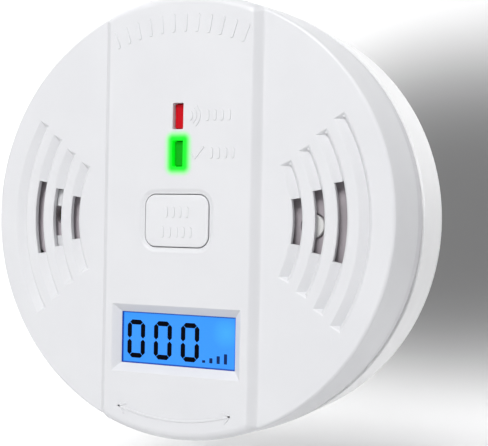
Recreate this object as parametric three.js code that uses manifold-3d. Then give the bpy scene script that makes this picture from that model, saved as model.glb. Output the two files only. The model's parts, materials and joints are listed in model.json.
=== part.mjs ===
// Round wall-mounted carbon monoxide alarm, built as separate solids.
// Millimetres, +Z up. The wall is the plane y = 0 and the alarm faces -Y, so every "depth" below
// is a distance in front of the wall: y = -depth. The alarm's round axis is the Y axis.
import * as THREE from "three";
import { mergeVertices } from "three/addons/utils/BufferGeometryUtils.js";
import Module from "manifold-3d";

const wasm = await Module();
wasm.setup();

// ---------- driving dimensions ----------
const GAP = 0.3; // clearance between neighbouring solids
const WALL = 2.0; // moulded wall thickness
const THIN = 1.2; // thin inner walls
const OVER = 1.0; // how far a cutter runs past the face it cuts
const SINK = 0.5; // how far a joined shape runs into the one it stands on
const CHAMFER = 0.6; // broken edge of a moulded part
const BEND = 1 - Math.SQRT1_2; // inset of a quarter round's middle point, as a share of its radius
const ROUND = 60; // facets round the large shells
const FINE = 24; // facets round medium turned parts
const COARSE = 12; // facets round small parts
const ARC_STEPS = 6; // steps along an arc of a drawn shape
const SHORT_ARC_STEPS = 4; // the same on a short arc

// outer body
const RING_FRONT_R = 50.0; // mounting base skirt at its open front edge
const RING_BACK_R = 49.6; // the same skirt at the wall
const COVER_R = 49.8; // front cover side wall
const STRIP_R = 49.5; // strip of rear housing seen between skirt and cover
const RING_D = 16.7; // depth of the skirt's front edge
const PARTING_D = 21.4; // where the front cover meets the rear housing
const WING_D = 35.2; // flat face each side of the band
const BAND_D = 37.0; // face of the raised centre band
const EDGE = 1.2; // rounding of the cover's front edge
const BAND_EDGE = 2.2; // rounding of the band's two ends
const BAND_HALF = 17.6; // band half-width at its face
const BAND_FOOT = 19.4; // band half-width where it meets the flat face
const RECESS_X = 16.6; // half-width of the hollow behind the band
const RECESS_Z = 44; // its half-height

// mounting base
const PLATE_T = 2.0; // back plate thickness
const SKIRT_IN_R = 48.0; // inside of the skirt
const KEYHOLE_X = 30; // keyhole head hole, from the centre
const KEYHOLE_R = 4.0; // screw head passes
const KEYHOLE_SLOT_R = 2.1; // screw shank slides
const KEYHOLE_RUN = 7.5; // from the head hole's centre to the centre of the slot's round end
const RIB_R = 18; // ring rib round the centre
const RIB_H = 1.4; // its height on the plate
const SPOKES = 6;
const SPOKE_FIRST = 30; // degrees, first spoke
const SPOKE_L = 27;
const SPOKE_H = 1.0; // height on the plate

// twist lock
const LOCK_COUNT = 3;
const LOCK_FIRST = 30; // degrees, first lug
const LUG_HALF = 7; // degrees
const LUG_BACK_D = 5.2;
const LUG_FRONT_D = 7.2;
const LUG_R = 47.7;
const HOOK_BACK_D = 7.6;
const HOOK_FRONT_D = 9.8;
const HOOK_R = 46.8;
const TWIST = 18; // degrees from locked to free
const STOP_GAP = 0.6; // degrees
const STOP_WIDE = 4; // degrees

// rear housing
const BACK_D = 4.9; // rear face
const TUB_R = 46.4; // part that enters the skirt
const FLANGE_D = 17.0; // start of the visible strip
const TONGUE_R = 47.4; // lip inside the front cover
const TONGUE_D = 23.2;
const STRIP_EDGE = 0.4; // broken edge of the visible strip
const BAY_L = 58; // battery bay, inside
const BAY_H = 46.8;
const BAY_FLOOR_D = 20.2;
const BAY_FLOOR_T = 1.6;
const BAY_WALL = 1.6;
const CELL_RIB_L = 38; // ribs that keep the cells apart
const CELL_RIB_W = 1.5;
const CELL_RIB_H = 3.6;

// batteries, size AA
const CELL_R = 7.15;
const CELL_L = 49.2;
const NUB_R = 2.75;
const NUB_L = 1.3;
const CELL_PITCH = 15.6;
const CELL_D = 12.6; // depth of the cell axes
const CELL_EDGE = 0.6; // rounding of the can's ends
const CELL_NUB_GAP = 0.8; // end of the bay to the nub's tip, contact included
const TIP_SIDES = [-1, 1, -1]; // side of each cell's positive tip, top cell first

// battery contacts
const CONTACT_T = 0.4;
const CONTACT_W = 10;
const CONTACT_BACK_D = 6.4;
const CONTACT_FRONT_D = 19.4;
const TAIL_W = 2.4;
const TAIL_END_D = 24.0;
const SPRING_R = 4.2;
const SPRING_TIP_R = 2.6;
const SPRING_WIRE = 0.8; // diameter
const SPRING_TURNS = 3;
const SPRING_STEPS = 10; // per turn
const WIRE_STEPS = 3; // per half turn round the wire

// housing screws and their posts
const POST_X = 20.5;
const POST_Z = 35.5;
const POST_R = 3.4;
const SCREW_R = 1.2;
const SCREW_HEAD_R = 2.4;
const SCREW_HEAD_T = 1.9;
const SCREW_L = 24;

// main board
const BOARD_BACK_D = 24.4;
const BOARD_T = 1.6;
const BOARD_D = BOARD_BACK_D + BOARD_T; // front face
const PART_D = BOARD_D + GAP; // where parts on the board start
const BOARD_R = 43.2;
const BOARD_TOP = 34;
const BOARD_BOTTOM = -38.5;
const BOARD_NOTCH_R = 4.6;
const BOARD_SCREW_X = 27;
const BOARD_SCREW_Z = 26;
const BOARD_POST_R = 2.8;
const BOARD_SCREW_L = 5.6; // shank

// vents: arcs about the centre, inner to outer
const VENT_R = [27.6, 32.55, 37.5, 42.45];
const VENT_HALF = [26.4, 28.0, 29.8, 31.1]; // degrees
const VENT_OPEN = [10.1, 11.7, 12.8, 0]; // degrees open right through, 0 for none
const VENT_W = 2.2;
const VENT_DEEP = 1.1; // of the blind part
const VENT_Z = -0.5;

// display
const LCD_Z = -27.0;
const LCD_OPEN_X = 14.1; // half-width of the opening
const LCD_OPEN_Z = 5.75; // half-height of the opening
const LCD_BEVEL = 1.75; // sloped rim round the opening
const LCD_LAND_D = 35.5; // depth where the slope ends
const LCD_POCKET_D = 35.4; // inside face behind the opening
const LCD_GLASS_X = 15.0;
const LCD_GLASS_Z = 7.4;
const LCD_GLASS_T = 2.6;
const LCD_LIGHT_T = 2.0;
const FRAME_WALL = 1.3;
const ZEBRA_T = 2.0; // rubber connector strip
const ZEBRA_INSET = 1.0; // from the glass's ends
const ZEBRA_GAP = 0.8; // between the strip and the backlight

// indicator lights
const LED_W = 2.0;
const LED_H = 5.1;
const LED_WINDOW_W = 2.6;
const LED_WINDOW_H = 5.75;
const LED_Z = { alarm: 22.05, operate: 13.9 };
const LED_FRONT_D = 36.0;
const LED_BASE_D = 29.3;
const LED_FLANGE = 0.5;
const LED_FLANGE_T = 1.2;
const LED_LEG = 0.6;
const LED_LEG_SPACE = 2.54;
const HOLDER_W = 4.0;

// test button and its switch
const BUTTON_W = 16.1;
const BUTTON_H = 12.0;
const BUTTON_R = 2.8;
const BUTTON_Z = -0.8;
const BUTTON_D = 37.15; // cap's face, just proud of the band
const BUTTON_LIP = 1.3; // flange behind the cover
const BUTTON_LIP_D = 34.6; // flange's front face
const BUTTON_LIP_T = 1.2;
const STEM_R = 2.2;
const STEM_END_D = 31.65;
const SWITCH_W = 6.2;
const SWITCH_TOP_D = 29.8;
const PLUNGER_R = 1.7;
const PLUNGER_D = 31.3;
const PLUNGER_BACK_D = 28.7;
const SWITCH_WELL_D = 27.6;

// sounder and gas sensor
const SOUNDER_X = -32.2;
const SOUNDER_R = 10.6;
const SOUNDER_D = 32.4;
const SOUND_HOLE_R = 2.2;
const PIEZO_R = 8.6;
const PIEZO_D = 29.2;
const PIEZO_T = 0.5;
const PIEZO_SEAT_R = 7.2; // opening of the ring under the disc
const SENSOR_X = 30.2;
const SENSOR_Z = -1.4;
const SENSOR_R = 9.3;
const SENSOR_D = 31.6;
const SENSOR_STEP = 0.8; // shoulder round the sensor's front
const FILTER_R = 2.5;
const FILTER_D = 32.7;

// small electronics: place on the board, size across it and height
const CONTROLLER = { x: -11, z: 16.5, w: 10, h: 10, tall: 1.5 };
const CRYSTAL = { x: -13.2, z: -12.2, w: 4.4, h: 10, tall: 3.4 };
const TRANSISTOR = { x: 12.6, z: -12, w: 4.6, h: 3.6, tall: 4.6 };
const COIL = { x: 11, z: 15, r: 4, hole: 1.2, tall: 5 };
const CAPACITORS = [
  { x: 11.5, z: 26 },
  { x: -11.5, z: 27.5 },
];
const CAPACITOR_R = 3.15;
const CAPACITOR_H = 6.6;

const rad = THREE.MathUtils.degToRad;

// ---------- solids ----------
function toSolid(geometry) {
  const bare = geometry.index ? geometry.clone() : mergeVertices(geometry.clone());
  bare.deleteAttribute("normal");
  bare.deleteAttribute("uv");
  const merged = mergeVertices(bare, 1e-4);
  const points = merged.attributes.position.array;
  const triangles = [];
  let volume = 0;
  const [a, b, c] = [new THREE.Vector3(), new THREE.Vector3(), new THREE.Vector3()];
  for (let i = 0; i < merged.index.count; i += 3) {
    const [p, q, r] = [0, 1, 2].map((k) => merged.index.getX(i + k));
    if (p === q || q === r || r === p) {
      continue;
    }
    triangles.push([p, q, r]);
    a.fromArray(points, 3 * p);
    b.fromArray(points, 3 * q);
    c.fromArray(points, 3 * r);
    volume += a.dot(b.cross(c));
  }
  const outward = volume > 0 ? triangles : triangles.map(([p, q, r]) => [p, r, q]);
  const mesh = new wasm.Mesh({
    numProp: 3,
    vertProperties: new Float32Array(points),
    triVerts: new Uint32Array(outward.flat()),
  });
  return new wasm.Manifold(mesh);
}

const join = (first, ...others) => others.reduce((sum, other) => sum.add(other), first);
const cut = (first, ...others) => others.reduce((rest, other) => rest.subtract(other), first);

// Turned solid about the Y axis from (radius, depth) points.
function turned(profile, facets = ROUND) {
  const points = profile.map(([r, depth]) => new THREE.Vector2(r, -depth));
  return toSolid(new THREE.LatheGeometry([...points, points[0].clone()], facets));
}

// Flat shape drawn in X and Z, filling the depths from back to front.
function plate(shape, back, front, curveSegments = ARC_STEPS) {
  const geometry = new THREE.ExtrudeGeometry(shape, {
    depth: front - back,
    bevelEnabled: false,
    curveSegments,
  });
  geometry.rotateX(Math.PI / 2);
  geometry.translate(0, -back, 0);
  return toSolid(geometry);
}

function block(x, z, width, height, back, front) {
  const geometry = new THREE.BoxGeometry(width, front - back, height);
  geometry.translate(x, -(back + front) / 2, z);
  return toSolid(geometry);
}

function rod(x, z, radius, back, front, facets = COARSE) {
  const geometry = new THREE.CylinderGeometry(radius, radius, front - back, facets);
  geometry.translate(x, -(back + front) / 2, z);
  return toSolid(geometry);
}

function tube(x, z, outer, inner, back, front, facets = FINE) {
  return cut(rod(x, z, outer, back, front, facets), rod(x, z, inner, back - OVER, front + OVER, facets));
}

// Frustum of a rectangle, used for the sloped rim of the display opening. It starts as a box that
// reaches 1 mm each way, so scaling its corners by the half-sizes gives those half-sizes.
function slopedWindow(z, halfX, halfZ, spread, back, front) {
  const geometry = new THREE.BoxGeometry(2, front - back, 2);
  const position = geometry.attributes.position;
  for (let i = 0; i < position.count; i += 1) {
    const grow = position.getY(i) < 0 ? spread : 0;
    position.setX(i, position.getX(i) * (halfX + grow));
    position.setZ(i, position.getZ(i) * (halfZ + grow));
  }
  geometry.translate(0, -(back + front) / 2, z);
  return toSolid(geometry);
}

function roundedShape(x, z, width, height, radius) {
  const [left, right] = [x - width / 2, x + width / 2];
  const [low, high] = [z - height / 2, z + height / 2];
  const shape = new THREE.Shape();
  shape.moveTo(left + radius, low);
  shape.lineTo(right - radius, low);
  shape.absarc(right - radius, low + radius, radius, -Math.PI / 2, 0);
  shape.lineTo(right, high - radius);
  shape.absarc(right - radius, high - radius, radius, 0, Math.PI / 2);
  shape.lineTo(left + radius, high);
  shape.absarc(left + radius, high - radius, radius, Math.PI / 2, Math.PI);
  shape.lineTo(left, low + radius);
  shape.absarc(left + radius, low + radius, radius, Math.PI, 1.5 * Math.PI);
  return shape;
}

// Ring sector about the Y axis; angles in degrees, counter-clockwise seen from the front.
function sector(inner, outer, from, to, back, front, segments = ARC_STEPS, z = 0) {
  const shape = new THREE.Shape();
  shape.absarc(0, z, outer, rad(from), rad(to), false);
  shape.absarc(0, z, inner, rad(to), rad(from), true);
  return plate(shape, back, front, segments);
}

// The four places at x and z from the centre.
const corners = (x, z) => [
  [x, z],
  [-x, z],
  [-x, -z],
  [x, -z],
];

// ---------- materials ----------
const finish = (color, roughness, metalness = 0) => ({ color, roughness, metalness });
const WHITE_ABS = finish(0xe9eaee, 0.42);
const BASE_ABS = finish(0xeeeff2, 0.5);
const INNER_ABS = finish(0xd9dadd, 0.55);
const STEEL = finish(0xb9bcc0, 0.3, 0.9);
const NICKEL = finish(0xc9c6bd, 0.28, 0.9);
const BOARD_GREEN = finish(0x1f5b3a, 0.5);
const BLACK = finish(0x1c1d20, 0.5);
const GREY = finish(0x8c8890, 0.6);
const CELL_WRAP = finish(0x2f3138, 0.35);
const DISPLAY_BLUE = finish(0x3a93ff, 0.15);
const LIGHT_GUIDE = finish(0xdfeaff, 0.4);
const RED_LENS = finish(0xc4001a, 0.25);
const GREEN_LENS = finish(0x00a51c, 0.25);
const PLUNGER_RED = finish(0xb0402c, 0.5);
const BRASS = finish(0xb99143, 0.35, 0.8);
const MEMBRANE = finish(0xf4f4f2, 0.6);
const SLEEVE = finish(0x25303f, 0.35);

const alarm = new THREE.Group();

function add(name, solid, look) {
  const mesh = solid.getMesh();
  const geometry = new THREE.BufferGeometry();
  geometry.setAttribute("position", new THREE.BufferAttribute(new Float32Array(mesh.vertProperties), 3));
  geometry.setIndex([...mesh.triVerts]);
  const material = new THREE.MeshStandardMaterial({ ...look, flatShading: true });
  const part = new THREE.Mesh(geometry, material);
  part.name = name;
  alarm.add(part);
}

// ---------- mounting base ----------
function keyhole(side) {
  const x = side * KEYHOLE_X;
  const through = [-OVER, PLATE_T + OVER];
  return join(
    rod(x, 0, KEYHOLE_R, ...through, FINE),
    block(x, KEYHOLE_RUN / 2, 2 * KEYHOLE_SLOT_R, KEYHOLE_RUN, ...through),
    rod(x, KEYHOLE_RUN, KEYHOLE_SLOT_R, ...through),
  );
}

function mountingBase() {
  const dish = turned([
    [0, 0],
    [RING_BACK_R - CHAMFER, 0],
    [RING_BACK_R, CHAMFER],
    [RING_FRONT_R, RING_D - CHAMFER],
    [RING_FRONT_R - CHAMFER, RING_D],
    [SKIRT_IN_R, RING_D],
    [SKIRT_IN_R, PLATE_T],
    [0, PLATE_T],
  ]);
  const rib = tube(0, 0, RIB_R, RIB_R - THIN, PLATE_T - SINK, PLATE_T + RIB_H);
  const spokes = [];
  for (let i = 0; i < SPOKES; i += 1) {
    const middle = RIB_R - THIN / 2 + SPOKE_L / 2;
    const spoke = block(middle, 0, SPOKE_L, THIN, PLATE_T - SINK, PLATE_T + SPOKE_H);
    spokes.push(spoke.rotate([0, SPOKE_FIRST + (360 / SPOKES) * i, 0]));
  }
  const fingers = [];
  for (let i = 0; i < LOCK_COUNT; i += 1) {
    const centre = LOCK_FIRST + (360 / LOCK_COUNT) * i;
    const hook = [centre - LUG_HALF, centre + LUG_HALF];
    const closed = centre - LUG_HALF - STOP_GAP;
    const open = centre + TWIST + LUG_HALF + STOP_GAP;
    const into = SKIRT_IN_R + SINK;
    fingers.push(sector(HOOK_R, into, ...hook, HOOK_BACK_D, HOOK_FRONT_D));
    fingers.push(sector(HOOK_R, into, closed - STOP_WIDE, closed, PLATE_T - SINK, HOOK_FRONT_D));
    fingers.push(sector(HOOK_R, into, open, open + STOP_WIDE, PLATE_T - SINK, HOOK_FRONT_D));
  }
  return cut(join(dish, rib, ...spokes, ...fingers), keyhole(-1), keyhole(1));
}

add("mounting_base", mountingBase(), BASE_ABS);

// ---------- rear housing ----------
const bayEnd = BAY_L / 2;
const tailX = bayEnd - GAP - CONTACT_T / 2; // contacts stand against the ends of the bay
const singleContacts = [
  { name: "contact_positive_end", side: -1, z: CELL_PITCH },
  { name: "contact_negative_end", side: 1, z: -CELL_PITCH },
];

function rearHousing() {
  const tub = turned([
    [0, BACK_D],
    [TUB_R - CHAMFER, BACK_D],
    [TUB_R, BACK_D + CHAMFER],
    [TUB_R, FLANGE_D],
    [STRIP_R - STRIP_EDGE, FLANGE_D],
    [STRIP_R, FLANGE_D + STRIP_EDGE],
    [STRIP_R, PARTING_D - GAP],
    [TONGUE_R, PARTING_D - GAP],
    [TONGUE_R, TONGUE_D],
    [TONGUE_R - THIN, TONGUE_D],
    [TONGUE_R - THIN, FLANGE_D + THIN],
    [TUB_R - WALL, FLANGE_D - THIN],
    [TUB_R - WALL, BACK_D + WALL],
    [0, BACK_D + WALL],
  ]);
  const lugs = [];
  for (let i = 0; i < LOCK_COUNT; i += 1) {
    const centre = LOCK_FIRST + (360 / LOCK_COUNT) * i;
    const span = [centre - LUG_HALF, centre + LUG_HALF];
    lugs.push(sector(TUB_R - SINK, LUG_R, ...span, LUG_BACK_D, LUG_FRONT_D));
  }
  const bayOuter = block(
    0, 0, BAY_L + 2 * BAY_WALL, BAY_H + 2 * BAY_WALL, BACK_D + SINK, BAY_FLOOR_D + BAY_FLOOR_T,
  );
  const posts = corners(POST_X, POST_Z).map(([x, z]) => rod(x, z, POST_R, BACK_D + SINK, TONGUE_D, FINE));
  const bay = block(0, 0, BAY_L, BAY_H, BACK_D - OVER, BAY_FLOOR_D);
  const ribs = [-CELL_PITCH / 2, CELL_PITCH / 2].map((z) => {
    return block(0, z, CELL_RIB_L, CELL_RIB_W, BAY_FLOOR_D - CELL_RIB_H, BAY_FLOOR_D + SINK);
  });
  const tails = singleContacts.map(({ side, z }) => {
    return block(side * tailX, z, CONTACT_T + 2 * GAP, TAIL_W + 2 * GAP, BAY_FLOOR_D - OVER, TAIL_END_D);
  });
  const bores = corners(POST_X, POST_Z).map(([x, z]) => {
    const head = rod(x, z, SCREW_HEAD_R + GAP, BACK_D - OVER, BACK_D + GAP + SCREW_HEAD_T + GAP, COARSE);
    return join(head, rod(x, z, SCREW_R + GAP, BACK_D, TONGUE_D + OVER, COARSE));
  });
  return cut(join(cut(join(tub, bayOuter, ...lugs, ...posts), bay), ...ribs), ...tails, ...bores);
}

add("rear_housing", rearHousing(), WHITE_ABS);

// ---------- batteries and contacts ----------
const nubTip = -bayEnd + CELL_NUB_GAP + GAP; // x of a positive tip at the bay's left end

function cell(side) {
  const profile = [
    [0, 0],
    [NUB_R, 0],
    [NUB_R, NUB_L],
    [CELL_R - CELL_EDGE, NUB_L],
    [CELL_R, NUB_L + CELL_EDGE],
    [CELL_R, NUB_L + CELL_L - CELL_EDGE],
    [CELL_R - CELL_EDGE, NUB_L + CELL_L],
    [0, NUB_L + CELL_L],
  ];
  const along = turned(profile, FINE).rotate([0, 0, 90]);
  return side < 0 ? along.translate([nubTip, 0, 0]) : along.rotate([0, 0, 180]).translate([-nubTip, 0, 0]);
}

const cellZ = (i) => (1 - i) * CELL_PITCH;

TIP_SIDES.forEach((side, i) => {
  add(`battery_${i + 1}`, cell(side).translate([0, -CELL_D, cellZ(i)]), CELL_WRAP);
});

function contactPlate(side, z, width) {
  return block(side * tailX, z, CONTACT_T, width, CONTACT_BACK_D, CONTACT_FRONT_D);
}

for (const { name, side, z } of singleContacts) {
  const tail = block(side * tailX, z, CONTACT_T, TAIL_W, CONTACT_FRONT_D - SINK, TAIL_END_D);
  add(name, join(contactPlate(side, z, CONTACT_W), tail), NICKEL);
}
const bridgeWide = CELL_PITCH + CONTACT_W;
add("contact_bridge_left", contactPlate(-1, -CELL_PITCH / 2, bridgeWide), NICKEL);
add("contact_bridge_right", contactPlate(1, CELL_PITCH / 2, bridgeWide), NICKEL);

// Conical coil spring whose wide end is against a contact, pressing a cell's flat end.
function contactSpring(side, z) {
  const plateFace = tailX - CONTACT_T / 2 - GAP - SPRING_WIRE / 2;
  const cellFace = nubTip + NUB_L + CELL_L;
  const tip = cellFace + GAP + SPRING_WIRE / 2;
  const turns = [];
  const count = SPRING_TURNS * SPRING_STEPS;
  for (let i = 0; i <= count; i += 1) {
    const t = i / count;
    const angle = 2 * Math.PI * SPRING_TURNS * t;
    const r = THREE.MathUtils.lerp(SPRING_R, SPRING_TIP_R, t);
    const x = THREE.MathUtils.lerp(plateFace, tip, t);
    turns.push(new THREE.Vector3(side * x, -CELL_D + r * Math.cos(angle), z + r * Math.sin(angle)));
  }
  const wire = new THREE.Shape();
  wire.absarc(0, 0, SPRING_WIRE / 2, 0, 2 * Math.PI, false);
  const geometry = new THREE.ExtrudeGeometry(wire, {
    steps: count,
    curveSegments: WIRE_STEPS,
    extrudePath: new THREE.CatmullRomCurve3(turns),
  });
  return toSolid(geometry);
}

TIP_SIDES.forEach((side, i) => {
  add(`battery_spring_${i + 1}`, contactSpring(-side, cellZ(i)), STEEL);
});

// ---------- front cover ----------
function ventArcs(side) {
  const middle = side > 0 ? 0 : 180;
  return VENT_R.flatMap((r, i) => {
    const [inner, outer] = [r - VENT_W / 2, r + VENT_W / 2];
    const groove = [middle - VENT_HALF[i], middle + VENT_HALF[i]];
    const cuts = [sector(inner, outer, ...groove, WING_D - VENT_DEEP, WING_D + OVER, ARC_STEPS, VENT_Z)];
    if (VENT_OPEN[i] > 0) {
      const open = [middle - VENT_OPEN[i], middle + VENT_OPEN[i]];
      cuts.push(sector(inner, outer, ...open, WING_D - WALL - OVER, WING_D, SHORT_ARC_STEPS, VENT_Z));
    }
    return cuts;
  });
}

function centreBand() {
  const section = new THREE.Shape();
  section.moveTo(-BAND_FOOT, -(WING_D - WALL));
  section.lineTo(-BAND_FOOT, -WING_D);
  section.lineTo(-BAND_HALF, -BAND_D);
  section.lineTo(BAND_HALF, -BAND_D);
  section.lineTo(BAND_FOOT, -WING_D);
  section.lineTo(BAND_FOOT, -(WING_D - WALL));
  section.closePath();
  const length = 2 * COVER_R + 2 * OVER;
  const geometry = new THREE.ExtrudeGeometry(section, { depth: length, bevelEnabled: false });
  geometry.translate(0, 0, -length / 2);
  const limit = turned([
    [0, WING_D - 2 * WALL],
    [COVER_R, WING_D - 2 * WALL],
    [COVER_R, BAND_D - BAND_EDGE],
    [COVER_R - BEND * BAND_EDGE, BAND_D - BEND * BAND_EDGE],
    [COVER_R - BAND_EDGE, BAND_D],
    [0, BAND_D],
  ]);
  return toSolid(geometry).intersect(limit);
}

function frontCover() {
  const shell = turned([
    [0, WING_D],
    [COVER_R - EDGE, WING_D],
    [COVER_R - BEND * EDGE, WING_D - BEND * EDGE],
    [COVER_R, WING_D - EDGE],
    [COVER_R, PARTING_D],
    [COVER_R - WALL, PARTING_D],
    [COVER_R - WALL, WING_D - WALL],
    [0, WING_D - WALL],
  ]);
  const inside = BAND_D - WALL; // inner face of the band
  const recess = block(0, 0, 2 * RECESS_X, 2 * RECESS_Z, WING_D - WALL - OVER, inside);
  const pocket = block(
    0, LCD_Z, 2 * (LCD_GLASS_X + GAP), 2 * (LCD_GLASS_Z + GAP), inside - OVER, LCD_POCKET_D,
  );
  const slope = slopedWindow(LCD_Z, LCD_OPEN_X, LCD_OPEN_Z, LCD_BEVEL, LCD_LAND_D, BAND_D);
  const opening = block(0, LCD_Z, 2 * LCD_OPEN_X, 2 * LCD_OPEN_Z, LCD_POCKET_D - OVER, BAND_D);
  const lights = Object.values(LED_Z).map((z) => {
    return block(0, z, LED_WINDOW_W, LED_WINDOW_H, inside - OVER, BAND_D + OVER);
  });
  const button = roundedShape(0, BUTTON_Z, BUTTON_W, BUTTON_H, BUTTON_R);
  const posts = corners(POST_X, POST_Z).map(([x, z]) => {
    return tube(x, z, POST_R, SCREW_R + GAP, TONGUE_D + GAP, WING_D - WALL + SINK, COARSE);
  });
  const boardPosts = corners(BOARD_SCREW_X, BOARD_SCREW_Z).map(([x, z]) => {
    return tube(x, z, BOARD_POST_R, SCREW_R + GAP, PART_D, WING_D - WALL + SINK, COARSE);
  });
  const body = cut(
    join(shell, centreBand()),
    recess,
    pocket,
    slope,
    opening,
    ...lights,
    plate(button, inside - OVER, BAND_D + OVER),
    ...ventArcs(1),
    ...ventArcs(-1),
  );
  const bores = [...corners(POST_X, POST_Z), ...corners(BOARD_SCREW_X, BOARD_SCREW_Z)].map(([x, z]) => {
    return rod(x, z, SCREW_R + GAP, PARTING_D, WING_D - WALL - GAP, COARSE);
  });
  return cut(join(body, ...posts, ...boardPosts), ...bores);
}

add("front_cover", frontCover(), WHITE_ABS);

// ---------- screws ----------
function screw(x, z, headBack, length) {
  const shankStart = headBack + SCREW_HEAD_T - SINK;
  return join(
    rod(x, z, SCREW_HEAD_R, headBack, headBack + SCREW_HEAD_T),
    rod(x, z, SCREW_R, shankStart, headBack + length),
  );
}

corners(POST_X, POST_Z).forEach(([x, z], i) => {
  add(`housing_screw_${i + 1}`, screw(x, z, BACK_D + GAP, SCREW_L), STEEL);
});
corners(BOARD_SCREW_X, BOARD_SCREW_Z).forEach(([x, z], i) => {
  const headBack = BOARD_BACK_D - GAP - SCREW_HEAD_T;
  add(`board_screw_${i + 1}`, screw(x, z, headBack, SCREW_HEAD_T + BOARD_SCREW_L), STEEL);
});

// ---------- main board ----------
function mainBoard() {
  const disc = rod(0, 0, BOARD_R, BOARD_BACK_D, BOARD_D, ROUND);
  const notches = corners(POST_X, POST_Z).map(([x, z]) => {
    return rod(x, z, BOARD_NOTCH_R, BOARD_BACK_D - OVER, BOARD_D + OVER);
  });
  const trims = [BOARD_TOP + BOARD_R / 2, BOARD_BOTTOM - BOARD_R / 2].map((z) => {
    return block(0, z, 2 * BOARD_R, BOARD_R, BOARD_BACK_D - OVER, BOARD_D + OVER);
  });
  const holes = corners(BOARD_SCREW_X, BOARD_SCREW_Z).map(([x, z]) => {
    return rod(x, z, SCREW_R + GAP, BOARD_BACK_D - OVER, BOARD_D + OVER);
  });
  return cut(disc, ...notches, ...trims, ...holes);
}

add("main_board", mainBoard(), BOARD_GREEN);

// ---------- display ----------
const glassFront = LCD_POCKET_D - GAP;
const glassBack = glassFront - LCD_GLASS_T;
const lightHigh = LCD_Z + LCD_GLASS_Z - ZEBRA_T - ZEBRA_GAP;
const lightLow = LCD_Z - LCD_GLASS_Z;

function displayFrame() {
  const wide = 2 * (LCD_GLASS_X + GAP + FRAME_WALL);
  const high = 2 * (LCD_GLASS_Z + GAP + FRAME_WALL);
  const front = BAND_D - WALL - GAP;
  const outer = block(0, LCD_Z, wide, high, PART_D, front);
  const inner = block(0, LCD_Z, wide - 2 * FRAME_WALL, high - 2 * FRAME_WALL, PART_D - OVER, front + OVER);
  return cut(outer, inner);
}

add("lcd_frame", displayFrame(), INNER_ABS);
add(
  "lcd_glass",
  block(0, LCD_Z, 2 * LCD_GLASS_X, 2 * LCD_GLASS_Z, glassBack, glassFront),
  DISPLAY_BLUE,
);
add(
  "lcd_backlight",
  block(
    0, (lightHigh + lightLow) / 2, 2 * LCD_GLASS_X, lightHigh - lightLow,
    glassBack - GAP - LCD_LIGHT_T, glassBack - GAP,
  ),
  LIGHT_GUIDE,
);
add(
  "lcd_zebra_strip",
  block(
    0, LCD_Z + LCD_GLASS_Z - ZEBRA_T / 2, 2 * (LCD_GLASS_X - ZEBRA_INSET), ZEBRA_T,
    PART_D, glassBack - GAP,
  ),
  GREY,
);

// ---------- indicator lights ----------
const holderHigh = LED_Z.alarm - LED_Z.operate + LED_H + 2 * LED_FLANGE;
const holderZ = (LED_Z.alarm + LED_Z.operate) / 2;
const legs = (z) => [z - LED_LEG_SPACE / 2, z + LED_LEG_SPACE / 2];

function ledHolder() {
  const body = block(0, holderZ, HOLDER_W, holderHigh, PART_D, LED_BASE_D - GAP);
  const ways = Object.values(LED_Z).flatMap((z) => {
    return legs(z).map((legZ) => {
      return block(0, legZ, LED_LEG + 2 * GAP, LED_LEG + 2 * GAP, PART_D - OVER, LED_BASE_D + OVER);
    });
  });
  return cut(body, ...ways);
}

function led(z) {
  const lens = block(0, z, LED_W, LED_H, LED_BASE_D, LED_FRONT_D);
  const foot = block(
    0, z, LED_W + LED_FLANGE, LED_H + LED_FLANGE, LED_BASE_D, LED_BASE_D + LED_FLANGE_T,
  );
  const wires = legs(z).map((legZ) => block(0, legZ, LED_LEG, LED_LEG, PART_D, LED_BASE_D + SINK));
  return join(lens, foot, ...wires);
}

add("led_holder", ledHolder(), INNER_ABS);
add("alarm_led_red", led(LED_Z.alarm), RED_LENS);
add("operate_led_green", led(LED_Z.operate), GREEN_LENS);

// ---------- test button and its switch ----------
function testButton() {
  const cap = roundedShape(0, BUTTON_Z, BUTTON_W - 2 * GAP, BUTTON_H - 2 * GAP, BUTTON_R - GAP);
  const lip = roundedShape(0, BUTTON_Z, BUTTON_W + 2 * BUTTON_LIP, BUTTON_H + 2 * BUTTON_LIP, BUTTON_R);
  return join(
    plate(cap, BUTTON_LIP_D - SINK, BUTTON_D),
    plate(lip, BUTTON_LIP_D - BUTTON_LIP_T, BUTTON_LIP_D, SHORT_ARC_STEPS),
    rod(0, BUTTON_Z, STEM_R, STEM_END_D, BUTTON_LIP_D - SINK),
  );
}

function switchBody() {
  const well = rod(0, BUTTON_Z, PLUNGER_R + GAP, SWITCH_WELL_D, SWITCH_TOP_D + OVER);
  return cut(block(0, BUTTON_Z, SWITCH_W, SWITCH_W, PART_D, SWITCH_TOP_D), well);
}

add("test_button", testButton(), WHITE_ABS);
add("switch_body", switchBody(), BLACK);
add("switch_plunger", rod(0, BUTTON_Z, PLUNGER_R, PLUNGER_BACK_D, PLUNGER_D), PLUNGER_RED);

// ---------- sounder ----------
function sounderHousing() {
  const cup = rod(SOUNDER_X, 0, SOUNDER_R, PART_D, SOUNDER_D, FINE);
  const hollow = rod(SOUNDER_X, 0, SOUNDER_R - THIN, PART_D - OVER, SOUNDER_D - THIN, FINE);
  const hole = rod(SOUNDER_X, 0, SOUND_HOLE_R, PART_D, SOUNDER_D + OVER);
  return cut(cup, hollow, hole);
}

add("sounder_housing", sounderHousing(), GREY);
add("piezo_disc", rod(SOUNDER_X, 0, PIEZO_R, PIEZO_D, PIEZO_D + PIEZO_T, FINE), BRASS);
add(
  "piezo_seat",
  tube(SOUNDER_X, 0, SOUNDER_R - THIN - GAP, PIEZO_SEAT_R, PART_D, PIEZO_D - GAP, FINE),
  BLACK,
);

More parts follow.
